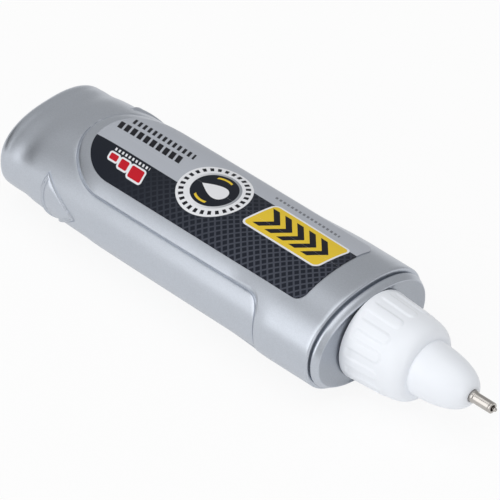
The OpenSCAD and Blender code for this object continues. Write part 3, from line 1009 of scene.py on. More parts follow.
@dataclass
class BarrelForm:
    """The barrel's outer form, with the sizes of the CAD part, in mm."""

    length: float = 68.0
    width: float = 25.0
    thickness: float = 17.0
    power: float = 2.2
    tail_power: float = 0.2
    tail_power_curve: int = 3
    grip_d: float = 0.5
    grip_front: float = 11.0
    grip_corner_r: float = 3.0
    panel_end: float = 46.0
    panel_r: float = 9.8
    panel_power: float = 2.6
    panel_step: float = 0.1
    panel_blend: Span = (-18.5, -8.5)
    panel_fall: int = 3
    end_limit: float = 0.999
    edge_limit: float = 0.9999
    taper: float = 1.1
    taper_curve: float = 2.4
    thinning: float = 1.35
    thinning_curve: int = 9
    tail_round_l: float = 3.1
    tail_curve: float = 3.4
    waist_in: float = 2.9
    waist_l: float = 1.7
    waist_d: float = 0.17
    girth_steps: int = 2880

    def __post_init__(self) -> None:
        """Works out what follows from the sizes."""
        self.taper_l = self.length - self.tail_round_l
        self.collar = Oval.sized((self.width, self.thickness), self.power)
        self._angles = np.linspace(-math.pi / 2, 3 * math.pi / 2, self.girth_steps + 1)
        steps = np.hypot(*np.diff(self.collar.ring(self._angles), axis=0).T)
        self._lengths = np.concatenate([[0.0], np.cumsum(steps)])
        self.girth = float(self._lengths[-1])

    def angle_at(self, g: np.ndarray) -> np.ndarray:
        """The section's angle at a distance g round the barrel, from the middle of its back."""
        return np.interp(g, self._lengths, self._angles)

    def girth_at(self, angle: np.ndarray) -> np.ndarray:
        """The distance round the barrel at an angle of the section."""
        return np.interp(angle, self._angles, self._lengths)

    def grip(self, u: Any) -> Oval:
        """Section at the level of the grips.

        Args:
            u: One place along the pen, or many.

        Returns:
            The section, which gets smaller and squarer towards the tail, with a soft waist.
        """
        share = np.clip(-np.asarray(u, float) / self.taper_l, 0.0, 1.0)
        waist = self.waist_d * np.exp(-((u + self.taper_l - self.waist_in) / self.waist_l) ** 2)
        a = self.width / 2 - self.grip_d
        b = a * self.thickness / self.width
        return Oval(a - self.taper * share ** self.taper_curve - waist,
                    b - self.thinning * share ** self.thinning_curve - waist,
                    self.power + self.tail_power * share ** self.tail_power_curve)

    def panel(self, u: np.ndarray) -> Oval:
        """Section of the raised level.

        Args:
            u: Places along the pen.

        Returns:
            The section: one step over the grips along the panel's outline, and the collar's
            section in front.
        """
        behind = np.clip(-np.asarray(u, float) - self.panel_end, 0.0,
                         self.panel_r * self.end_limit)
        half = np.sqrt(self.panel_r ** 2 - behind ** 2)
        low = float(self.grip(-self.panel_end - self.panel_r).b) + self.panel_step
        top = self.thickness / 2
        b = top + (low - top) * (behind / self.panel_r) ** self.panel_fall
        edge = np.minimum(self.grip(u).height(half) + self.panel_step, b * self.edge_limit)
        a = half / (1 - (edge / b) ** self.panel_power) ** (1 / self.panel_power)
        start, end = self.panel_blend
        share = smooth_share((u - start) / (end - start))
        return Oval(a, b, self.panel_power).towards(self.collar, share)

    def on_panel(self, u: np.ndarray, v: np.ndarray) -> np.ndarray:
        """Whether points, seen from above, are on the raised panel or the front collar.

        Args:
            u: Places along the pen.
            v: Places across it.

        Returns:
            True for each point that is.
        """
        across = np.abs(v)
        start, side = -self.grip_front - self.grip_corner_r, self.panel_r + self.grip_corner_r
        corner = np.hypot(u - start, across - side) > self.grip_corner_r
        tongue = (u > -self.panel_end) & (across < self.panel_r)
        end = np.hypot(u + self.panel_end, across) < self.panel_r
        return (u > -self.grip_front) | tongue | end | ((u > start) & (across < side) & corner)

    def points(self, u: np.ndarray, g: np.ndarray, share: Any = 0.0,
               out: Any = 0.0) -> np.ndarray:
        """Points on the barrel.

        Args:
            u: Places along the pen.
            g: Distances round the barrel.
            share: 0 at the level of the grips, and 1 at the raised level.
            out: Heights over that level.

        Returns:
            The points (u, v, w).
        """
        grip, panel, angle = self.grip(u), self.panel(u).grown(out), self.angle_at(g)
        low = grip.ring(angle)
        side = smooth_share((np.abs(low[:, 0]) - self.panel_r) / (grip.a - self.panel_r))
        v = low[:, 0] * (1 + (panel.a / grip.a - 1) * side)
        high = np.stack([v, np.sign(low[:, 1]) * panel.height(v)], 1)
        low = grip.grown(out).ring(angle)
        share = np.broadcast_to(share, (len(low),))[:, None]
        return np.column_stack([u, low + (high - low) * share])

    def from_above(self, u: np.ndarray, v: np.ndarray, top: bool) -> np.ndarray:
        """Distances round the barrel of points seen from above.

        Args:
            u: Places along the pen.
            v: Places across it.
            top: Whether the points are on the top, and not on the back.

        Returns:
            The distances.
        """
        grip = self.grip(u)
        angle = np.arccos(np.clip(signed_power(v / grip.a, grip.power / 2), -1.0, 1.0))
        return self.girth_at(angle if top else np.where(angle > math.pi / 2, TURN - angle, -angle))

    def from_side(self, u: np.ndarray, w: np.ndarray, side: int) -> np.ndarray:
        """Distances round the barrel of points seen from one side.

        Args:
            u: Places along the pen.
            w: Heights over its axis.
            side: 1 for the side of +v, and -1 for the other.

        Returns:
            The distances.
        """
        grip = self.grip(u)
        angle = np.arcsin(np.clip(signed_power(w / grip.b, grip.power / 2), -1.0, 1.0))
        return self.girth_at(angle if side > 0 else math.pi - angle)


@dataclass
class PatternedPatch:
    """A flat patch of triangles with crisp lines in it, which is then laid on the barrel."""

    points: list[np.ndarray] = field(default_factory=list)
    levels: list[np.ndarray] = field(default_factory=list)
    edges: list[Sequence[int]] = field(default_factory=list)
    lines: list[np.ndarray] = field(default_factory=list)
    count: int = 0
    tolerance: float = 1e-5

    def add(self, points: np.ndarray, levels: Sequence[float] | np.ndarray) -> int:
        """Adds points with a row of numbers each.

        Args:
            points: The points.
            levels: One row for all of them, or one each.

        Returns:
            The number of the first point.
        """
        self.points.append(points)
        self.levels.append(np.broadcast_to(levels, (len(points), np.shape(levels)[-1])))
        self.count += len(points)
        return self.count - len(points)

    def add_line(self, points: np.ndarray, levels: Sequence[float], closed: bool = False) -> None:
        """Adds a line that the triangles keep to.

        Args:
            points: Points of the line.
            levels: The row of numbers for all of them.
            closed: Whether the line goes back to its start.
        """
        first, n = self.add(points, levels), len(points)
        self.edges += [(first + i, first + (i + 1) % n) for i in range(n if closed else n - 1)]
        self.lines.append(points)

    def clear_of_lines(self, points: np.ndarray, distance: float) -> np.ndarray:
        """Which of the points are farther than a distance from every line."""
        lines = np.concatenate(self.lines)
        return np.array([np.hypot(*(lines - point).T).min() > distance for point in points])

    def triangles(self, keep_inside: bool = False) -> tuple[np.ndarray, np.ndarray, list]:
        """Triangles over all points.

        Args:
            keep_inside: Whether only triangles inside the closed lines are kept.

        Returns:
            The points, their levels, and the triangles.
        """
        points, levels = np.concatenate(self.points), np.concatenate(self.levels)
        loops = [[start for start, _ in self.edges]] if keep_inside else []
        # The fourth value is 1 for the triangles inside the loops, and 0 for those of the hull.
        verts, _, faces, sources, _, _ = delaunay_2d_cdt(
            [Vector(point) for point in points], self.edges, loops, int(keep_inside), self.tolerance
        )
        origin = np.array([source[0] for source in sources])
        return np.array([vert[:] for vert in verts]), levels[origin], faces


@dataclass
class Barrel:
    """Blow-moulded barrel with its panel, grips, arrow pads, cap seat and neck: one piece.

    A panel step is a line beside the panel's outline: how far out it lies, whether it is at the
    raised level, and its height in crease depths. A pad step is a line inside the pad's outline:
    how far in it lies, and its height in pad depths.
    """

    pen: PenFrame
    form: BarrelForm
    segments: int = 160
    patch_back: float = -59.5
    patch_front: float = -8.5
    spacing: float = 0.55
    line_step: float = 0.4
    clearance: float = 0.2
    curve_steps: int = 80
    edge_r: float = 0.35
    wall: float = 1.1
    rest_flat_d: float = 0.2
    pad_u: float = -56.0
    pad_l: float = 6.4
    pad_h: float = 10.2
    pad_d: float = 0.3
    pad_back: float = 1.0
    pad_back_steps: int = 8
    pad_hollow: float = 0.1
    pad_hollow_in: float = 0.8
    pad_shift: float = 1.1
    pad_steps: tuple[Span, ...] = (
        (-0.16, 0.0), (-0.06, -0.4), (0.02, 0.0), (0.1, 0.85),
        (0.18, 1.0), (0.28, 0.95), (0.38, 0.3), (0.5, 0.0),
    )
    crease_d: float = 0.26
    panel_steps: tuple[tuple[float, int, float], ...] = (
        (0.55, 0, 0.0), (0.4, 0, -0.1), (0.3, 0, -0.8), (0.2, 0, -1.0),
        (0.08, 0, -0.8), (-0.06, 1, -0.2), (-0.16, 1, 0.0), (-0.4, 1, 0.0),
    )
    groove_w: float = 0.34
    groove_d: float = 1.3
    seat: Span = (24.1, 15.6)
    rim: Span = (23.2, 14.5)
    rim_curve: float = 1.5
    seat_l: float = 1.6
    seat_edge: float = 0.14
    groove_bevel: float = 0.02
    seat_bevel: float = 0.042
    seat_flat: float = 0.21
    face: Span = (19.5, 13.9)
    face_d: float = 0.22
    neck_d: float = 9.4
    neck_l: float = 7.2
    bore_d: float = 7.6
    fillet: float = 0.3
    bevel: float = 0.1
    collar_rings: int = 18
    edge_degrees: tuple[float, ...] = (22.5, 45.0, 67.5, 90.0)
    taper_rings: int = 4
    tail_rings: int = 20
    tail_degrees: tuple[float, ...] = (6, 12, 19, 26, 33, 40, 47, 54, 61, 68, 75, 81, 86)
    tail_cap: float = 0.15
    cavity_rings: int = 14
    cavity_degrees: tuple[float, ...] = (20, 40, 60, 80)

    def __post_init__(self) -> None:
        """Works out where the points of a ring lie round the barrel."""
        self.girths = np.linspace(0.0, self.form.girth, self.segments + 1)
        self.angles = self.form.angle_at(self.girths[:-1])

    def build(self) -> list[bpy.types.Object]:
        """Makes the barrel's skin, inside and out, as one closed mesh.

        Returns:
            The barrel.
        """
        draft = MeshDraft()
        self._patch(draft)
        self._tail(draft)
        self._front(draft)
        for points in draft.points:
            points[:, 2] = np.maximum(points[:, 2], self.rest_flat_d - self.form.thickness / 2)
        barrel = draft.finished("squeeze_barrel", self.pen, Finishes.BARREL)
        return [settle(barrel, "barrel", Finishes.BARREL, "bottle")]

    def _patch(self, draft: MeshDraft) -> None:
        """The middle of the barrel, with the crisp step round the panel and the arrow pads.

        Args:
            draft: The barrel's draft, to which it is added.
        """
        patch = PatternedPatch()
        self._frame_lines(patch)
        self._panel_lines(patch)
        for side in (-1, 1):
            self._pad_lines(patch, side)
        self._fill(patch)
        points, levels, faces = patch.triangles()
        numbers = draft.add(self.form.points(*points.T, *levels.T))
        draft.add_faces(numbers, faces)

    def _frame_lines(self, patch: PatternedPatch) -> None:
        """Border of the patch: full rings, which the tail and the front start from.

        Args:
            patch: The patch, to which they are added.
        """
        for u, level in ((self.patch_back, 0.0), (self.patch_front, 1.0)):
            ring = np.column_stack([np.full_like(self.girths, u), self.girths])
            patch.add_line(ring, (level, 0.0))

    def _panel_outline(self) -> np.ndarray:
        """One half of the panel's outline, seen from above.

        Returns:
            Its points, from the round end behind to where it meets the barrel's side in front.
        """
        form, r = self.form, self.form.grip_corner_r
        quarter = np.linspace(0.0, math.pi / 2, self.curve_steps)
        side_v = float(form.grip(-form.grip_front).a)
        reach = math.acos((form.panel_r + r - side_v) / r)
        turn = np.linspace(0.0, reach, self.curve_steps)
        end = (-form.panel_end - form.panel_r * np.cos(quarter), form.panel_r * np.sin(quarter))
        corner = (-form.grip_front - r * (1 - np.sin(turn)), form.panel_r + r * (1 - np.cos(turn)))
        return np.concatenate([np.column_stack(end), np.column_stack(corner)])

    def _panel_lines(self, patch: PatternedPatch) -> None:
        """The step between the grips and the panel, with a fine crease at its foot.

        Args:
            patch: The patch, to which its lines are added.
        """
        form, (u, v) = self.form, self._panel_outline().T
        back_plus, top_plus, back_minus, top_minus = (
            np.column_stack([u, form.from_above(u, v * side, top)])
            for side in (1, -1) for top in (False, True)
        )
        line = np.concatenate([back_plus, top_plus[::-1], top_minus, back_minus[::-1]])
        line[0, 1], line[-1, 1] = 0.0, form.girth
        line = along_line(line, self.line_step)
        for distance, level, out in self.panel_steps:
            beside = beside_line(line, distance)
            beside[0, 1], beside[-1, 1] = 0.0, form.girth
            patch.add_line(beside, (level, out * self.crease_d))

    def _pad_lines(self, patch: PatternedPatch, side: int) -> None:
        """An arrow pad: a fine crease, a crisp rim and a face that is slightly hollow.

        Args:
            patch: The patch, to which its lines are added.
            side: The side of the barrel that it is on, 1 or -1.
        """
        back = np.linspace(1.0, -1.0, self.pad_back_steps + 1)
        corners = np.column_stack([self.pad_u - self.pad_back * (1 - back ** 2),
                                   back * self.pad_h / 2])
        corners = np.concatenate([corners, [[self.pad_u + self.pad_l, 0.0]]])
        for inset, share in (*self.pad_steps, (self.pad_hollow_in, self.pad_hollow / self.pad_d)):
            drawn = inset_corners(corners, inset) + (0.0, side * self.pad_shift)
            outline = np.concatenate([along_line(np.array(ends), self.line_step)[:-1]
                                      for ends in zip(drawn, np.roll(drawn, -1, 0))])
            u, w = outline.T
            g = self.form.from_side(u, w, side)
            patch.add_line(np.column_stack([u, g]), (0.0, share * self.pad_d), closed=True)

    def _fill(self, patch: PatternedPatch) -> None:
        """Even rows of points between the lines.

        Args:
            patch: The patch, which has its lines, and to which the points are added.
        """
        form = self.form
        rows = round((self.patch_front - self.patch_back) / self.spacing)
        step = form.girth / self.segments
        places = []
        for i, u in enumerate(np.linspace(self.patch_back, self.patch_front, rows + 1)[1:-1]):
            g = np.arange(self.segments + 1) if i % 2 else np.arange(self.segments) + 0.5
            places.append(np.column_stack([np.full(len(g), u), g * step]))
        places = np.concatenate(places)
        places = places[patch.clear_of_lines(places, self.clearance)]
        u, (_, v, w) = places[:, 0], form.points(*places.T).T
        height = np.abs(w - np.sign(v) * self.pad_shift) / (self.pad_h / 2)
        reach = np.clip((self.pad_u + self.pad_l - u) / self.pad_l, 0.0, 1.0)
        on_pad = (height < reach) & (u > self.pad_u - self.pad_back * (1 - height ** 2))
        out = np.where(on_pad, self.pad_hollow, 0.0)
        patch.add(places, np.column_stack([form.on_panel(u, v).astype(float), out]))

    def _ring(self, draft: MeshDraft, u: float, share: float, out: float = 0.0) -> np.ndarray:
        """Adds a ring of the outer form, at a share of the way to the raised level."""
        g = self.girths[:-1]
        return draft.add(self.form.points(np.full_like(g, u), g, share, out))

    def _rings(self, draft: MeshDraft, sections: Sequence[tuple[float, Oval]]) -> list[np.ndarray]:
        """Adds a ring for each section and its place along the pen."""
        return [draft.add_ring(u, oval.ring(self.angles)) for u, oval in sections]

    def _tail(self, draft: MeshDraft) -> None:
        """From the patch back over the waist to the rounded tail, which closes in a pole.

        Args:
            draft: The barrel's draft, to which it is added.
        """
        form = self.form
        rings = [self._ring(draft, u, 0.0)
                 for u in np.linspace(self.patch_back, -form.taper_l, self.tail_rings)]
        last = form.grip(-form.taper_l)
        end = [(-form.taper_l - form.tail_round_l * along, last.shrunk(share))
               for along, share in rounding(form.tail_curve, self.tail_degrees)]
        rings += self._rings(draft, [*end, (-form.length, last.shrunk(self.tail_cap))])
        draft.skin([*rings, draft.add_pole(-form.length)])

    def _front(self, draft: MeshDraft) -> None:
        """From the patch forward to the rounded front edge, and on over the other sections.

        Args:
            draft: The barrel's draft, to which it is added.
        """
        rows = np.linspace(self.patch_front, -self.edge_r, self.collar_rings)
        rings = [self._ring(draft, u, 1.0) for u in rows]
        for turn in np.radians(self.edge_degrees):
            back, out = self.edge_r * (math.sin(turn) - 1), self.edge_r * (math.cos(turn) - 1)
            rings.append(self._ring(draft, back, 1.0, out))
        rings += self._rings(draft, self._seat() + self._neck() + self._cavity())
        draft.skin([*rings, draft.add_pole(self.wall - self.form.length)])

    def _seat(self) -> list[tuple[float, Oval]]:
        """The groove, the cap seat with its bevels and taper, and the recess in its face.

        Returns:
            Sections with their places along the pen.
        """
        form, edge = self.form, self.seat_edge
        floor = form.collar.grown(-self.groove_d)
        sizes = (self.seat, self.rim, self.face)
        seat, rim, face = (Oval.sized(size, form.power) for size in sizes)
        start, end = self.groove_w + edge, self.seat_l - edge
        foot = self.seat_l - self.face_d
        taper = [(start + (end - start) * share, seat.towards(rim, share ** self.rim_curve))
                 for share in np.linspace(0.0, 1.0, self.taper_rings + 1)[1:]]
        bevel, flat = self.seat_bevel, self.seat_flat
        return [
            (0.0, floor), (self.groove_w, floor), (self.groove_w, seat.grown(-edge)),
            (self.groove_w + self.groove_bevel, seat.grown(-edge / 3)), (start, seat), *taper,
            (self.seat_l - bevel, rim.grown(-bevel)), (self.seat_l, rim.grown(-edge)),
            (self.seat_l, rim.grown(-flat)), (foot, face), (foot, face.grown(-2 * flat)),
        ]

    def _neck(self) -> list[tuple[float, Oval]]:
        """The neck with its fillet and bevels, and its bore.

        Returns:
            Sections with their places along the pen.
        """
        foot, end, back = self.seat_l - self.face_d, self.seat_l + self.neck_l, -self.wall / 2
        neck, bore, fillet, bevel = self.neck_d, self.bore_d, self.fillet, self.bevel
        profile = (
            (foot, neck + 2 * fillet), (foot + bevel, neck + bevel), (foot + fillet, neck),
            (end - fillet, neck), (end - bevel, neck - bevel), (end, neck - 4 * bevel),
            (end, bore + 4 * bevel), (end - bevel, bore + bevel), (end - fillet, bore),
            (back + 2 * bevel, bore), (back, bore + 2 * bevel),
        )
        return [(u, Oval.sized((d, d))) for u, d in profile]

    def _cavity(self) -> list[tuple[float, Oval]]:
        """The inside of the barrel, from the neck back to the tail.

        Returns:
            Sections with their places along the pen.
        """
        form, wall = self.form, self.wall
        floor = form.collar.grown(-self.groove_d)
        front = (-wall / 2, Oval(floor.a - 2 * wall, floor.b - wall, form.power))
        rows = np.linspace(-2 * wall, -form.taper_l, self.cavity_rings)
        sides = [(u, form.grip(u).grown(-wall)) for u in rows]
        last = form.grip(-form.taper_l).grown(-wall)
        end = [(-form.taper_l - (form.tail_round_l - wall) * along, last.shrunk(share))
               for along, share in rounding(form.tail_curve, self.cavity_degrees)]
        return [front, *sides, *end]


@dataclass
class Label:
    """Printed film on the panel: straight in front and round behind."""

    pen: PenFrame
    form: BarrelForm
    front: float = 5.5
    length: float = 48.4
    radius: float = 8.1
    corner_r: float = 1.5
    thickness: float = 0.12
    glue: float = 0.02
    spacing: float = 0.5
    edge_step: float = 0.35
    tail_steps: int = 60
    corner_steps: int = 12
    clearance: float = 0.3

    def build(self) -> list[bpy.types.Object]:
        """Makes the film as a thin closed shell.

        Returns:
            The film.
        """
        patch = PatternedPatch()
        outline = self._outline()
        patch.add_line(outline, (0.0,), closed=True)
        low, high = outline.min(0), outline.max(0)
        column = np.arange(low[1], high[1], self.spacing)
        places = np.concatenate([
            np.column_stack([np.full_like(column, u), column + (i % 2) * self.spacing / 2])
            for i, u in enumerate(np.arange(low[0], high[0], self.spacing))
        ])
        places = places[patch.clear_of_lines(places, self.clearance) & self._covers(places)]
        patch.add(places, (0.0,))
        points, _, faces = patch.triangles(keep_inside=True)
        panel = self.form.panel(points[:, 0])
        draft = MeshDraft()
        top, under = (draft.add(np.column_stack([points, panel.grown(out).height(points[:, 1])]))
                      for out in (self.glue + self.thickness, self.glue))
        draft.add_faces(top, faces)
        draft.add_faces(under, [face[::-1] for face in faces])
        draft.skin([top[:len(outline)], under[:len(outline)]])
        film = draft.finished("printed_label", self.pen, Finishes.LABEL)
        return [settle(film, "barrel", Finishes.LABEL, "label_film")]

    def _outline(self) -> np.ndarray:
        """The film's edge, seen from above.

        Returns:
            Its points, at even steps.
        """
        back = -self.front - self.length + self.radius
        front = -self.front - self.corner_r
        side = self.radius - self.corner_r
        tail = np.linspace(math.pi / 2, 3 * math.pi / 2, self.tail_steps)
        corner = np.linspace(-math.pi / 2, 0.0, self.corner_steps)
        rear = np.column_stack([back + self.radius * np.cos(tail), self.radius * np.sin(tail)])
        low = np.column_stack([front + self.corner_r * np.cos(corner),
                               -side + self.corner_r * np.sin(corner)])
        high = low[::-1] * (1.0, -1.0)
        return along_line(np.concatenate([rear, low, high, rear[:1]]), self.edge_step)[:-1]

    def _covers(self, places: np.ndarray) -> np.ndarray:
        """Which places are on the film.

        Args:
            places: Places (u, v), seen from above.

        Returns:
            True for each one that is.
        """
        u, v = places[:, 0], np.abs(places[:, 1])
        back = -self.front - self.length + self.radius
        return (v < self.radius) & ((u > back) | (np.hypot(u - back, v) < self.radius))


class PieceNodes(NodeSheet):
    """Node group of a modifier that makes or shapes a piece from named numbers."""

    def __init__(self, name: str, numbers: Sequence[str], takes_mesh: bool = False) -> None:
        """Makes the group and its sockets.

        Args:
            name: Name of the group.
            numbers: Names of its inputs for numbers. It has one more for the finish.
            takes_mesh: Whether it also takes the mesh of the object.
        """
        super().__init__(bpy.data.node_groups.new(name, "GeometryNodeTree"))
        sockets = [("Geometry", "INPUT", "NodeSocketGeometry")] * takes_mesh
        sockets += [(label, "INPUT", "NodeSocketFloat") for label in numbers]
        sockets.append(("Finish", "INPUT", "NodeSocketMaterial"))
        sockets.append(("Geometry", "OUTPUT", "NodeSocketGeometry"))
        for label, way, kind in sockets:
            self.tree.interface.new_socket(label, in_out=way, socket_type=kind)
        self.given = self.node("NodeGroupInput")

    def number(self, label: str) -> Wire:
        """One of the group's numbers."""
        return self.wire(self.given, label)

    def close(self, geometry: bpy.types.Node) -> None:
        """Ends the group with real geometry in the given finish.

        Args:
            geometry: The node that gives the geometry.
        """
        real = self.node("GeometryNodeRealizeInstances", inputs={"Geometry": geometry})
        inputs = {"Geometry": real, "Material": self.given.outputs["Finish"]}
        self.node("NodeGroupOutput", inputs={0: self.node("GeometryNodeSetMaterial", None, inputs)})

    def baked(self, carrier: bpy.types.Object, numbers: dict[str, float],
              finish: bpy.types.Material) -> bpy.types.Object:
        """Turns what the group makes into an object's own mesh.

        Args:
            carrier: The object.
            numbers: The group's numbers, by name.
            finish: The material that it gets.

        Returns:
            The object, with a plain mesh and no modifier.
        """
        modifier = carrier.modifiers.new(self.tree.name, "NODES")
        modifier.node_group = self.tree
        values = {**numbers, "Finish": finish}
        for item in self.tree.interface.items_tree:
            if item.item_type == "SOCKET" and item.in_out == "INPUT" and item.name in values:
                modifier[item.identifier] = values[item.name]
        carrier.update_tag()
        graph = bpy.context.evaluated_depsgraph_get()
        mesh = bpy.data.meshes.new_from_object(carrier.evaluated_get(graph), depsgraph=graph)
        carrier.modifiers.remove(modifier)
        carrier.data = mesh
        return carrier


class Section(Enum):
    """Cross-section of a helix."""

    ROUND = "round wire"
    THREAD = "trapezoid thread"


@dataclass
class Helix:
    """Wire or thread that runs round the pen's axis, made by a node tree."""

    name: str
    pen: PenFrame
    finish: Finishes
    section: Section
    start: float
    length: float
    radius: float
    turns: float
    size: float
    height: float = 0.0
    crest_share: float = 0.4
    steps: int = 48
    wire_steps: int = 16

    def build(self) -> bpy.types.Object:
        """Makes the helix at its place.

        Returns:
            The helix, as a plain mesh.
        """
        numbers = {
            "Start": (self.start + self.pen.front_x) * MM, "Axis Height": self.pen.axis_z * MM,
            "Length": self.length * MM, "Radius": self.radius * MM, "Turns": self.turns,
            "Size": self.size * MM, "Height": self.height * MM,
        }
        carrier = new_object(self.name, bpy.data.meshes.new(self.name))
        return self._nodes(tuple(numbers)).baked(carrier, numbers, self.finish.made(self.pen))

    def _nodes(self, numbers: Sequence[str]) -> PieceNodes:
        """The node group: a spiral along the axis, swept with the section.

        Args:
            numbers: Names of its numbers.

        Returns:
            The group.
        """
        sheet = PieceNodes(f"{self.name}_nodes", numbers)
        spiral = sheet.node("GeometryNodeCurveSpiral", inputs={
            "Resolution": self.steps, "Rotations": sheet.number("Turns"),
            "Height": sheet.number("Length"), "Start Radius": sheet.number("Radius"),
            "End Radius": sheet.number("Radius"),
        })
        upright = sheet.node("GeometryNodeSetCurveNormal", {"mode": "Z_UP"}, {"Curve": spiral})
        swept = sheet.node("GeometryNodeCurveToMesh", inputs={
            "Curve": upright, "Profile Curve": self._outline(sheet), "Fill Caps": True,
        })
        place = {0: sheet.number("Start"), 2: sheet.number("Axis Height")}
        laid = sheet.node("GeometryNodeTransform", inputs={
            "Geometry": swept, "Rotation": (0.0, math.pi / 2, 0.0),
            "Translation": sheet.node("ShaderNodeCombineXYZ", inputs=place),
        })
        sheet.close(sheet.node("GeometryNodeSetShadeSmooth", inputs={"Geometry": laid}))
        return sheet

    def _outline(self, sheet: PieceNodes) -> bpy.types.Node:
        """The section's outline.

        Args:
            sheet: The node group, to which its nodes are added.

        Returns:
            The node that gives it.
        """
        size = sheet.number("Size")
        if self.section is Section.ROUND:
            inputs = {"Resolution": self.wire_steps, "Radius": size / 2}
            return sheet.node("GeometryNodeCurvePrimitiveCircle", inputs=inputs)
        inputs = {"Bottom Width": size, "Top Width": size * self.crest_share,
                  "Height": sheet.number("Height"), "Offset": 0.0}
        kind = "GeometryNodeCurvePrimitiveQuadrilateral"
        inputs = {"Geometry": sheet.node(kind, {"mode": "TRAPEZOID"}, inputs),
                  "Rotation": (0.0, 0.0, -math.pi / 2)}
        return sheet.node("GeometryNodeTransform", inputs=inputs)


@dataclass
class Nozzle:
    """White nozzle: ribbed skirt, shoulder, crease and dome, thread bore and valve chamber."""

    pen: PenFrame
    base_u: float = 1.65
    base_d: float = 14.7
    base_land: float = 0.35
    base_round: float = 0.15
    neck_d: float = 13.84
    skirt_l: float = 7.1
    skirt_step: float = 0.25
    rib_end_l: float = 0.9
    rib_end_step: float = 0.07
    shoulder_l: float = 3.8
    shoulder_power: float = 2.3
    shoulder_degrees: Span = (3.0, 86.0)
    crease_d: float = 8.9
    crease_h: float = 0.3
    crease_l: float = 0.1
    dome_l: float = 8.95
    dome_power: float = 2.07
    dome_degrees: Span = (4.0, 84.0)
    round_steps: int = 26
    mouth_d: float = 2.1
    mouth_l: float = 0.5
    mouth_lip: Span = (0.05, 0.12)
    crisp: float = 0.01
    ribs: int = 14
    rib_h: float = 0.19
    rib_w: float = 2.2
    rib_soft: float = 0.5
    rib_over: float = 0.1
    rib_segments: int = 32
    base_ring_l: float = 0.9
    base_ring_edge: float = 0.05
    thread_bore_d: float = 10.6
    least_wall: float = 0.6
    ceiling_u: float = 9.7
    sleeve_d: float = 6.6
    sleeve_u: float = 6.4
    chamber_d: float = 4.6
    chamber_u: float = 16.15
    tube_bore_d: float = 1.79
    bore_edge: float = 0.08

    def __post_init__(self) -> None:
        """Works out the places along the pen that follow from the lengths."""
        self.shoulder_u = self.base_u + self.skirt_l
        self.crease_u = self.shoulder_u + self.shoulder_l
        self.mouth_u = self.crease_u + self.dome_l

    def build(self) -> list[bpy.types.Object]:
        """Turns the nozzle at the height of its ribs, and sinks its skirt between them.

        Returns:
            The nozzle.
        """
        profile = self._outside() + eased(self._bores(), self.bore_edge, 2)[1:-1]
        nozzle = turned("ribbed_nozzle", profile, self.pen, Finishes.NOZZLE,
                        self.ribs * self.rib_segments, closed=True)
        start, end = self.base_u + self.base_ring_l, self.shoulder_u + self.rib_over
        numbers = {
            "Axis Height": self.pen.axis_z * MM, "Count": float(self.ribs),
            "Depth": self.rib_h * MM, "Half Width": self.rib_w / 2 * MM,
            "Start": (start + self.pen.front_x) * MM, "End": (end + self.pen.front_x) * MM,
            "Soft Edge": self.rib_soft * MM,
            "Skin Radius": (self.thread_bore_d / 2 + self.least_wall) * MM,
        }
        sheet = self._rib_nodes(tuple(numbers))
        nozzle = sheet.baked(nozzle, numbers, Finishes.NOZZLE.made(self.pen))
        return [settle(nozzle, "tip", Finishes.NOZZLE, "nozzle")]

    def _outside(self) -> list[Span]:
        """Base, skirt at the height of the ribs, shoulder, crease, dome and mouth.

        Returns:
            Points (u, r), from the base to the inside of the mouth.
        """
        sizes = (self.base_d, self.neck_d, self.crease_d, self.mouth_d)
        base, neck, crease, mouth = (d / 2 for d in sizes)
        few, land = self.base_round, self.base_land
        made = [(self.base_u, base - land), (self.base_u, base - few),
                (self.base_u + few / 3, base - few / 3)]
        fine = self.skirt_l - self.rib_end_l
        along = np.concatenate([
            [few, self.base_ring_l - self.base_ring_edge],
            np.arange(self.base_ring_l + self.crisp, fine, self.skirt_step),
            np.arange(fine, self.skirt_l + self.rib_over, self.rib_end_step),
        ])
        made += [(self.base_u + t, base + (neck - base) / self.skirt_l * t) for t in along]
        start, degrees = neck - self.rib_h, np.linspace(*self.shoulder_degrees, self.round_steps)
        made += [(self.shoulder_u + self.shoulder_l * t, crease + (start - crease) * share)
                 for t, share in rounding(self.shoulder_power, degrees)]
        made += [(self.crease_u - self.crisp, crease + self.crease_h),
                 (self.crease_u + self.crisp, crease + self.crease_h / 10),
                 (self.crease_u + self.crease_l, crease)]
        degrees = np.linspace(*self.dome_degrees, self.round_steps)
        made += [(self.crease_u + self.dome_l * t, mouth + (crease - mouth) * share)
                 for t, share in rounding(self.dome_power, degrees)]
        lip_l, lip_h = self.mouth_lip
        return made + [(self.mouth_u - self.crisp, mouth + lip_h), (self.mouth_u - lip_l, mouth),
                       (self.mouth_u - self.mouth_l, self.tube_bore_d / 2)]

    def _bores(self) -> list[Span]:
        """Bore of the tube, valve chamber, sleeve and thread bore.

        Returns:
            Points (u, r), from the inside of the mouth back to the base.
        """
        bores = (self.tube_bore_d, self.chamber_d, self.sleeve_d, self.thread_bore_d)
        tube, chamber, sleeve, thread = (d / 2 for d in bores)
        return [
            (self.mouth_u - self.mouth_l, tube), (self.chamber_u, tube), (self.chamber_u, chamber),
            (self.sleeve_u, chamber), (self.sleeve_u, sleeve), (self.ceiling_u, sleeve),
            (self.ceiling_u, thread), (self.base_u, thread),
            (self.base_u, self.base_d / 2 - self.base_land),
        ]

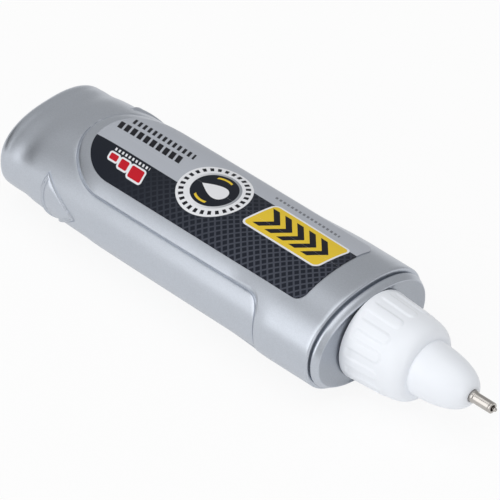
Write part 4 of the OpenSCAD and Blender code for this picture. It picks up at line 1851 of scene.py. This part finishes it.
    def _rib_nodes(self, numbers: Sequence[str]) -> PieceNodes:
        """The node group that moves the skin inwards between ribs with round front ends.

        Args:
            numbers: Names of its numbers.

        Returns:
            The group.
        """
        sheet = PieceNodes("nozzle_ribs", numbers, takes_mesh=True)
        place = {0: sheet.node("GeometryNodeInputPosition")}
        parts = sheet.node("ShaderNodeSeparateXYZ", inputs=place)
        x, y, z = (sheet.wire(parts, i) for i in range(3))
        z -= sheet.number("Axis Height")
        count, half, soft = (sheet.number(label) for label in ("Count", "Half Width", "Soft Edge"))
        start, end = sheet.number("Start"), sheet.number("End")
        radius = (y * y + z * z).root()
        turn = y.math("ARCTAN2", y, z) / TURN * count
        around = (turn.fraction() - 0.5) / count * TURN * radius
        ahead = (x - end + half).most(0.0)
        beside = (around * around + ahead * ahead).root().rise(half - soft, half)
        along = ((x - start) / soft).clamped() * (1.0 - x.math("GREATER_THAN", x, end))
        skin = radius.math("GREATER_THAN", radius, sheet.number("Skin Radius"))
        share = sheet.number("Depth") * beside * along * skin / radius * -1.0
        inward = sheet.node("ShaderNodeCombineXYZ", inputs={1: y * share, 2: z * share})
        inputs = {"Geometry": sheet.given.outputs["Geometry"], "Offset": inward}
        sheet.close(sheet.node("GeometryNodeSetPosition", inputs=inputs))
        return sheet


@dataclass
class WritingTip:
    """Steel tube with its flange, and the valve pin with its rounded end and collar."""

    pen: PenFrame
    tube_d: float = 1.75
    bore_d: float = 1.0
    flange_u: float = 15.15
    flange_end_u: float = 16.13
    flange_d: float = 3.8
    throat_r: float = 1.4
    throat_l: float = 0.45
    mouth_u: float = 21.5
    root_h: float = 0.1
    root_l: float = 0.5
    root_slope_l: float = 0.3
    end_u: float = 25.45
    lip: float = 0.14
    groove_in: float = 0.43
    groove_w: float = 0.14
    groove_d: float = 0.06
    pin_d: float = 0.66
    pin_back_u: float = 12.4
    pin_out: float = 0.7
    pin_neck_d: float = 0.1
    pin_neck_in: Span = (0.5, 0.3)
    pin_edge: float = 0.06
    ball_degrees: Span = (-50.0, 81.0)
    ball_gap: float = 0.04
    collar_u: float = 13.5
    collar_l: float = 1.6
    collar_d: float = 3.0
    collar_edge: float = 0.08
    cone_r: float = 1.2
    nose_l: float = 0.4
    nose_h: float = 0.2
    play: float = 0.02
    tube_segments: int = 72
    pin_segments: int = 48
    ball_steps: int = 14
    collar_segments: int = 64

    def build(self) -> list[bpy.types.Object]:
        """Turns the tube, the pin and the collar.

        Returns:
            The three pieces.
        """
        return [
            settle(self._tube(), "tip", Finishes.TUBE, "writing_tube"),
            settle(self._pin(), "pin", Finishes.TUBE, "valve_pin"),
            settle(self._collar(), "pin", Finishes.VALVE, "valve_collar"),
        ]

    def _tube(self) -> bpy.types.Object:
        """Tube with its flange, its wider root and the fine groove behind its lip.

        Returns:
            The tube.
        """
        bore, r, flange = self.bore_d / 2, self.tube_d / 2, self.flange_d / 2
        root, root_end = r + self.root_h, self.mouth_u + self.root_l
        groove, half = self.end_u - self.groove_in, self.groove_w / 2
        outline = [
            (self.flange_u, self.throat_r), (self.flange_u, flange), (self.flange_end_u, flange),
            (self.flange_end_u, r), (self.mouth_u - self.root_slope_l - self.root_h, r),
            (self.mouth_u - self.root_h, root), (root_end, root),
            (root_end + self.root_slope_l / 2, r), (groove - half, r), (groove, r - self.groove_d),
            (groove + half, r), (self.end_u, r), (self.end_u, bore),
            (self.flange_u + self.throat_l, bore), (self.flange_u, self.throat_r),
        ]
        profile = eased(outline, self.lip)[:-1]
        return turned("writing_tube_steel", profile, self.pen, Finishes.TUBE,
                      self.tube_segments, closed=True)

    def _pin(self) -> bpy.types.Object:
        """Pin with a thinner neck and a rounded end.

        Returns:
            The pin.
        """
        r, tip = self.pin_d / 2, self.end_u + self.pin_out
        neck, (start, end) = r - self.pin_neck_d, self.pin_neck_in
        shaft = [(self.pin_back_u, 0.0), (self.pin_back_u, r), (self.end_u - start, r),
                 (self.end_u - end, neck), (tip - 2 * r - self.ball_gap, neck)]
        ball = [(tip - r + r * math.sin(turn), r * math.cos(turn))
                for turn in np.radians(np.linspace(*self.ball_degrees, self.ball_steps))]
        profile = [*eased(shaft, self.pin_edge), *ball, (tip, 0.0)]
        return turned("valve_pin_steel", profile, self.pen, Finishes.TUBE, self.pin_segments)

    def _collar(self) -> bpy.types.Object:
        """Collar whose cone closes the tube's flange.

        Returns:
            The collar.
        """
        start, end, r = self.collar_u, self.collar_u + self.collar_l, self.collar_d / 2
        nose, bore = end + self.nose_l, self.pin_d / 2 + self.play
        outline = [(start, bore), (start, r), (end, r), (end, self.cone_r),
                   (nose, self.pin_d / 2 + self.nose_h), (nose, bore), (start, bore)]
        profile = eased(outline, self.collar_edge)[:-1]
        return turned("valve_collar_plastic", profile, self.pen, Finishes.VALVE,
                      self.collar_segments, closed=True)


@dataclass
class ScrewAndSpring:
    """Thread on the neck, and the spring that closes the valve."""

    pen: PenFrame
    neck_d: float = 9.4
    thread_h: float = 0.5
    thread_w: float = 0.9
    thread_u: float = 2.4
    thread_l: float = 5.4
    pitch: float = 2.0
    spring_u: float = 8.1
    spring_l: float = 5.4
    spring_d: float = 3.2
    wire_d: float = 0.34
    coils: float = 7.0
    travel: float = 0.55
    sunk: float = 0.05

    def build(self) -> list[bpy.types.Object]:
        """Makes the thread and the spring by their node trees.

        Returns:
            The two pieces.
        """
        thread = Helix(
            "neck_thread", self.pen, Finishes.BARREL, Section.THREAD,
            start=self.thread_u, length=self.thread_l,
            radius=self.neck_d / 2 + self.thread_h / 2 - self.sunk,
            turns=self.thread_l / self.pitch, size=self.thread_w, height=self.thread_h,
        )
        spring = Helix(
            "valve_coil_spring", self.pen, Finishes.SPRING, Section.ROUND,
            start=self.spring_u + self.wire_d / 2, length=self.spring_l - self.wire_d - self.sunk,
            radius=(self.spring_d - self.wire_d) / 2, turns=self.coils, size=self.wire_d,
        )
        made = [settle(thread.build(), "barrel", Finishes.BARREL),
                settle(spring.build(), "tip", Finishes.SPRING, "valve_spring")]
        anchor = tuple(self.pen.place(np.array([self.spring_u, 0.0, 0.0])))
        keep = 1 - self.travel / self.spring_l
        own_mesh(made[1])
        return made


def dress_inner_nodes(pen: PenFrame) -> None:
    """Gives the CAD nodes that stay their materials.

    Args:
        pen: Where the pen lies.
    """
    for node, finish in (("mixing_ball", Finishes.BALL), ("sealing_washer", Finishes.WASHER),
                         ("spring_retainer", Finishes.VALVE)):
        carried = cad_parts[node]
        carried.data.materials.clear()
        carried.data.materials.append(finish.made(pen))
        log.info("%s: CAD node in %s", node, finish.value.name)


def away_from_pen(azimuth: float, elevation: float) -> Vector:
    """The way from the pen to a lamp or camera.

    Args:
        azimuth: Degrees round the pen: 0 is towards -y, and 90 towards +x.
        elevation: Degrees over the table.

    Returns:
        The way, of length 1.
    """
    a, e = math.radians(azimuth), math.radians(elevation)
    return Vector((math.sin(a) * math.cos(e), -math.cos(a) * math.cos(e), math.sin(e)))


@dataclass(frozen=True)
class SoftBox:
    """A large soft lamp: where it stands from the pen, how wide it is and how strong."""

    name: str
    azimuth: float
    elevation: float
    distance: float
    size: Span
    power: float

    def build(self, aim: Vector) -> None:
        """Hangs the lamp.

        Args:
            aim: The point that it is turned to.
        """
        away = away_from_pen(self.azimuth, self.elevation)
        lamp = bpy.data.lights.new(self.name, "AREA")
        lamp.shape = "RECTANGLE"
        lamp.size, lamp.size_y = self.size
        lamp.energy = self.power
        made = new_object(self.name, lamp)
        made.location = aim + away * self.distance
        made.rotation_mode = "QUATERNION"
        made.rotation_quaternion = away.to_track_quat("Z", "Y")
        made.visible_camera = False


@dataclass
class Studio:
    """White table and room with soft lamps."""

    floor_size: float = 6.0
    floor_cells: int = 4
    floor_colour: Colour = (0.95, 0.95, 0.95)
    floor_glow: float = 0.88
    gloss_glow: float = 0.5
    room_light: float = 0.48
    dim_light: float = 0.08
    dim_way: Colour = (-0.95, -0.29, 0.12)
    dim_from: Span = (0.84, 0.97)
    boxes: tuple[SoftBox, ...] = (
        SoftBox("side_softbox", -17.0, 26.0, 0.8, (0.5, 0.9), 2.15),
        SoftBox("front_softbox", 58.0, 14.0, 0.8, (0.25, 0.5), 0.8),
        SoftBox("top_softbox", 20.0, 84.0, 0.9, (0.9, 0.9), 2.6),
    )

    def build(self, aim: Vector) -> None:
        """Makes the floor, the room and the lamps.

        Args:
            aim: The point that the lamps are turned to.
        """
        self._floor()
        self._room()
        for box in self.boxes:
            box.build(aim)
        log.info("studio: floor, room and %d lamps", len(self.boxes))

    def _floor(self) -> None:
        """A white table top, whose shadow is kept light for the camera."""
        mesh, cells = bpy.data.meshes.new("floor"), self.floor_cells
        work = bmesh.new()
        bmesh.ops.create_grid(work, x_segments=cells, y_segments=cells, size=self.floor_size / 2)
        work.to_mesh(mesh)
        work.free()
        made = bpy.data.materials.new("white_table")
        made.use_nodes = True
        sheet = NodeSheet(made.node_tree)
        matt = sheet.node("ShaderNodeBsdfDiffuse", inputs={"Color": self.floor_colour})
        glow = sheet.node("ShaderNodeEmission", inputs={"Color": WHITE, "Strength": 1.0})
        path = sheet.node("ShaderNodeLightPath")
        camera, gloss, glass = (sheet.wire(path, f"Is {kind} Ray")
                                for kind in ("Camera", "Glossy", "Transmission"))
        seen = (camera * self.floor_glow).most(gloss.most(glass) * self.gloss_glow)
        blend = sheet.node("ShaderNodeMixShader", inputs={0: seen, 1: matt, 2: glow})
        sheet.node("ShaderNodeOutputMaterial", inputs={"Surface": blend})
        mesh.materials.append(made)
        new_object("floor", mesh)

    def _room(self) -> None:
        """A pale room round the table, with a dim corner beyond the tail."""
        world = bpy.data.worlds.new("pale_room")
        world.use_nodes = True
        bpy.context.scene.world = world
        sheet = NodeSheet(world.node_tree)
        pale, dim = (sheet.node("ShaderNodeBackground", inputs={"Color": WHITE, "Strength": light})
                     for light in (self.room_light, self.dim_light))
        way = {0: sheet.node("ShaderNodeTexCoord").outputs["Generated"]}
        parts = sheet.node("ShaderNodeSeparateXYZ", inputs=way)
        towards = sum(sheet.wire(parts, i) * part for i, part in enumerate(self.dim_way))
        share = towards.rise(*self.dim_from)
        blend = sheet.node("ShaderNodeMixShader", inputs={0: share, 1: pale, 2: dim})
        sheet.node("ShaderNodeOutputWorld", inputs={"Surface": blend})


@dataclass(frozen=True)
class PhotoCamera:
    """The photograph's camera: a long lens, to the side of the tip and well above the table."""

    azimuth: float = 44.0742
    elevation: float = 39.8878
    lens: float = 360.0
    sensor: float = 36.0
    clip: Span = (0.05, 20.0)
    right: float = 16.873
    down: float = 11.580
    distance: float = 737.071

    def build(self, pen: PenFrame) -> None:
        """Places the camera so that the pen's front edge falls where the photograph has it.

        Args:
            pen: Where the pen lies.
        """
        back = away_from_pen(self.azimuth, self.elevation)
        right = (-back).cross(Vector((0.0, 0.0, 1.0))).normalized()
        up = back.cross(right)
        spot = back * self.distance - right * self.right + up * self.down
        lens = bpy.data.cameras.new("photo_camera")
        lens.lens, lens.sensor_width = self.lens, self.sensor
        lens.clip_start, lens.clip_end = self.clip
        camera = new_object("photo_camera", lens)
        camera.location = Vector(pen.place(np.array(spot)))
        camera.rotation_mode = "QUATERNION"
        camera.rotation_quaternion = Matrix((right, up, back)).transposed().to_quaternion()
        bpy.context.scene.camera = camera


def main() -> None:
    """Builds the camera, the pen and the studio, in that order."""
    logging.basicConfig(level=logging.INFO, format="%(name)s: %(message)s")
    bpy.context.scene.view_settings.view_transform = "Standard"
    form = BarrelForm()
    pen = PenFrame.from_cad(form.length)
    PhotoCamera().build(pen)
    assemblies = (Barrel(pen, form), Label(pen, form), Nozzle(pen), WritingTip(pen),
                  ScrewAndSpring(pen))
    pieces = [piece for assembly in assemblies for piece in assembly.build()]
    dress_inner_nodes(pen)
    Studio().build(Vector((0.0, 0.0, pen.axis_z * MM)))
    log.info("%d pieces made", len(pieces))


if __name__ == "__main__":
    main()
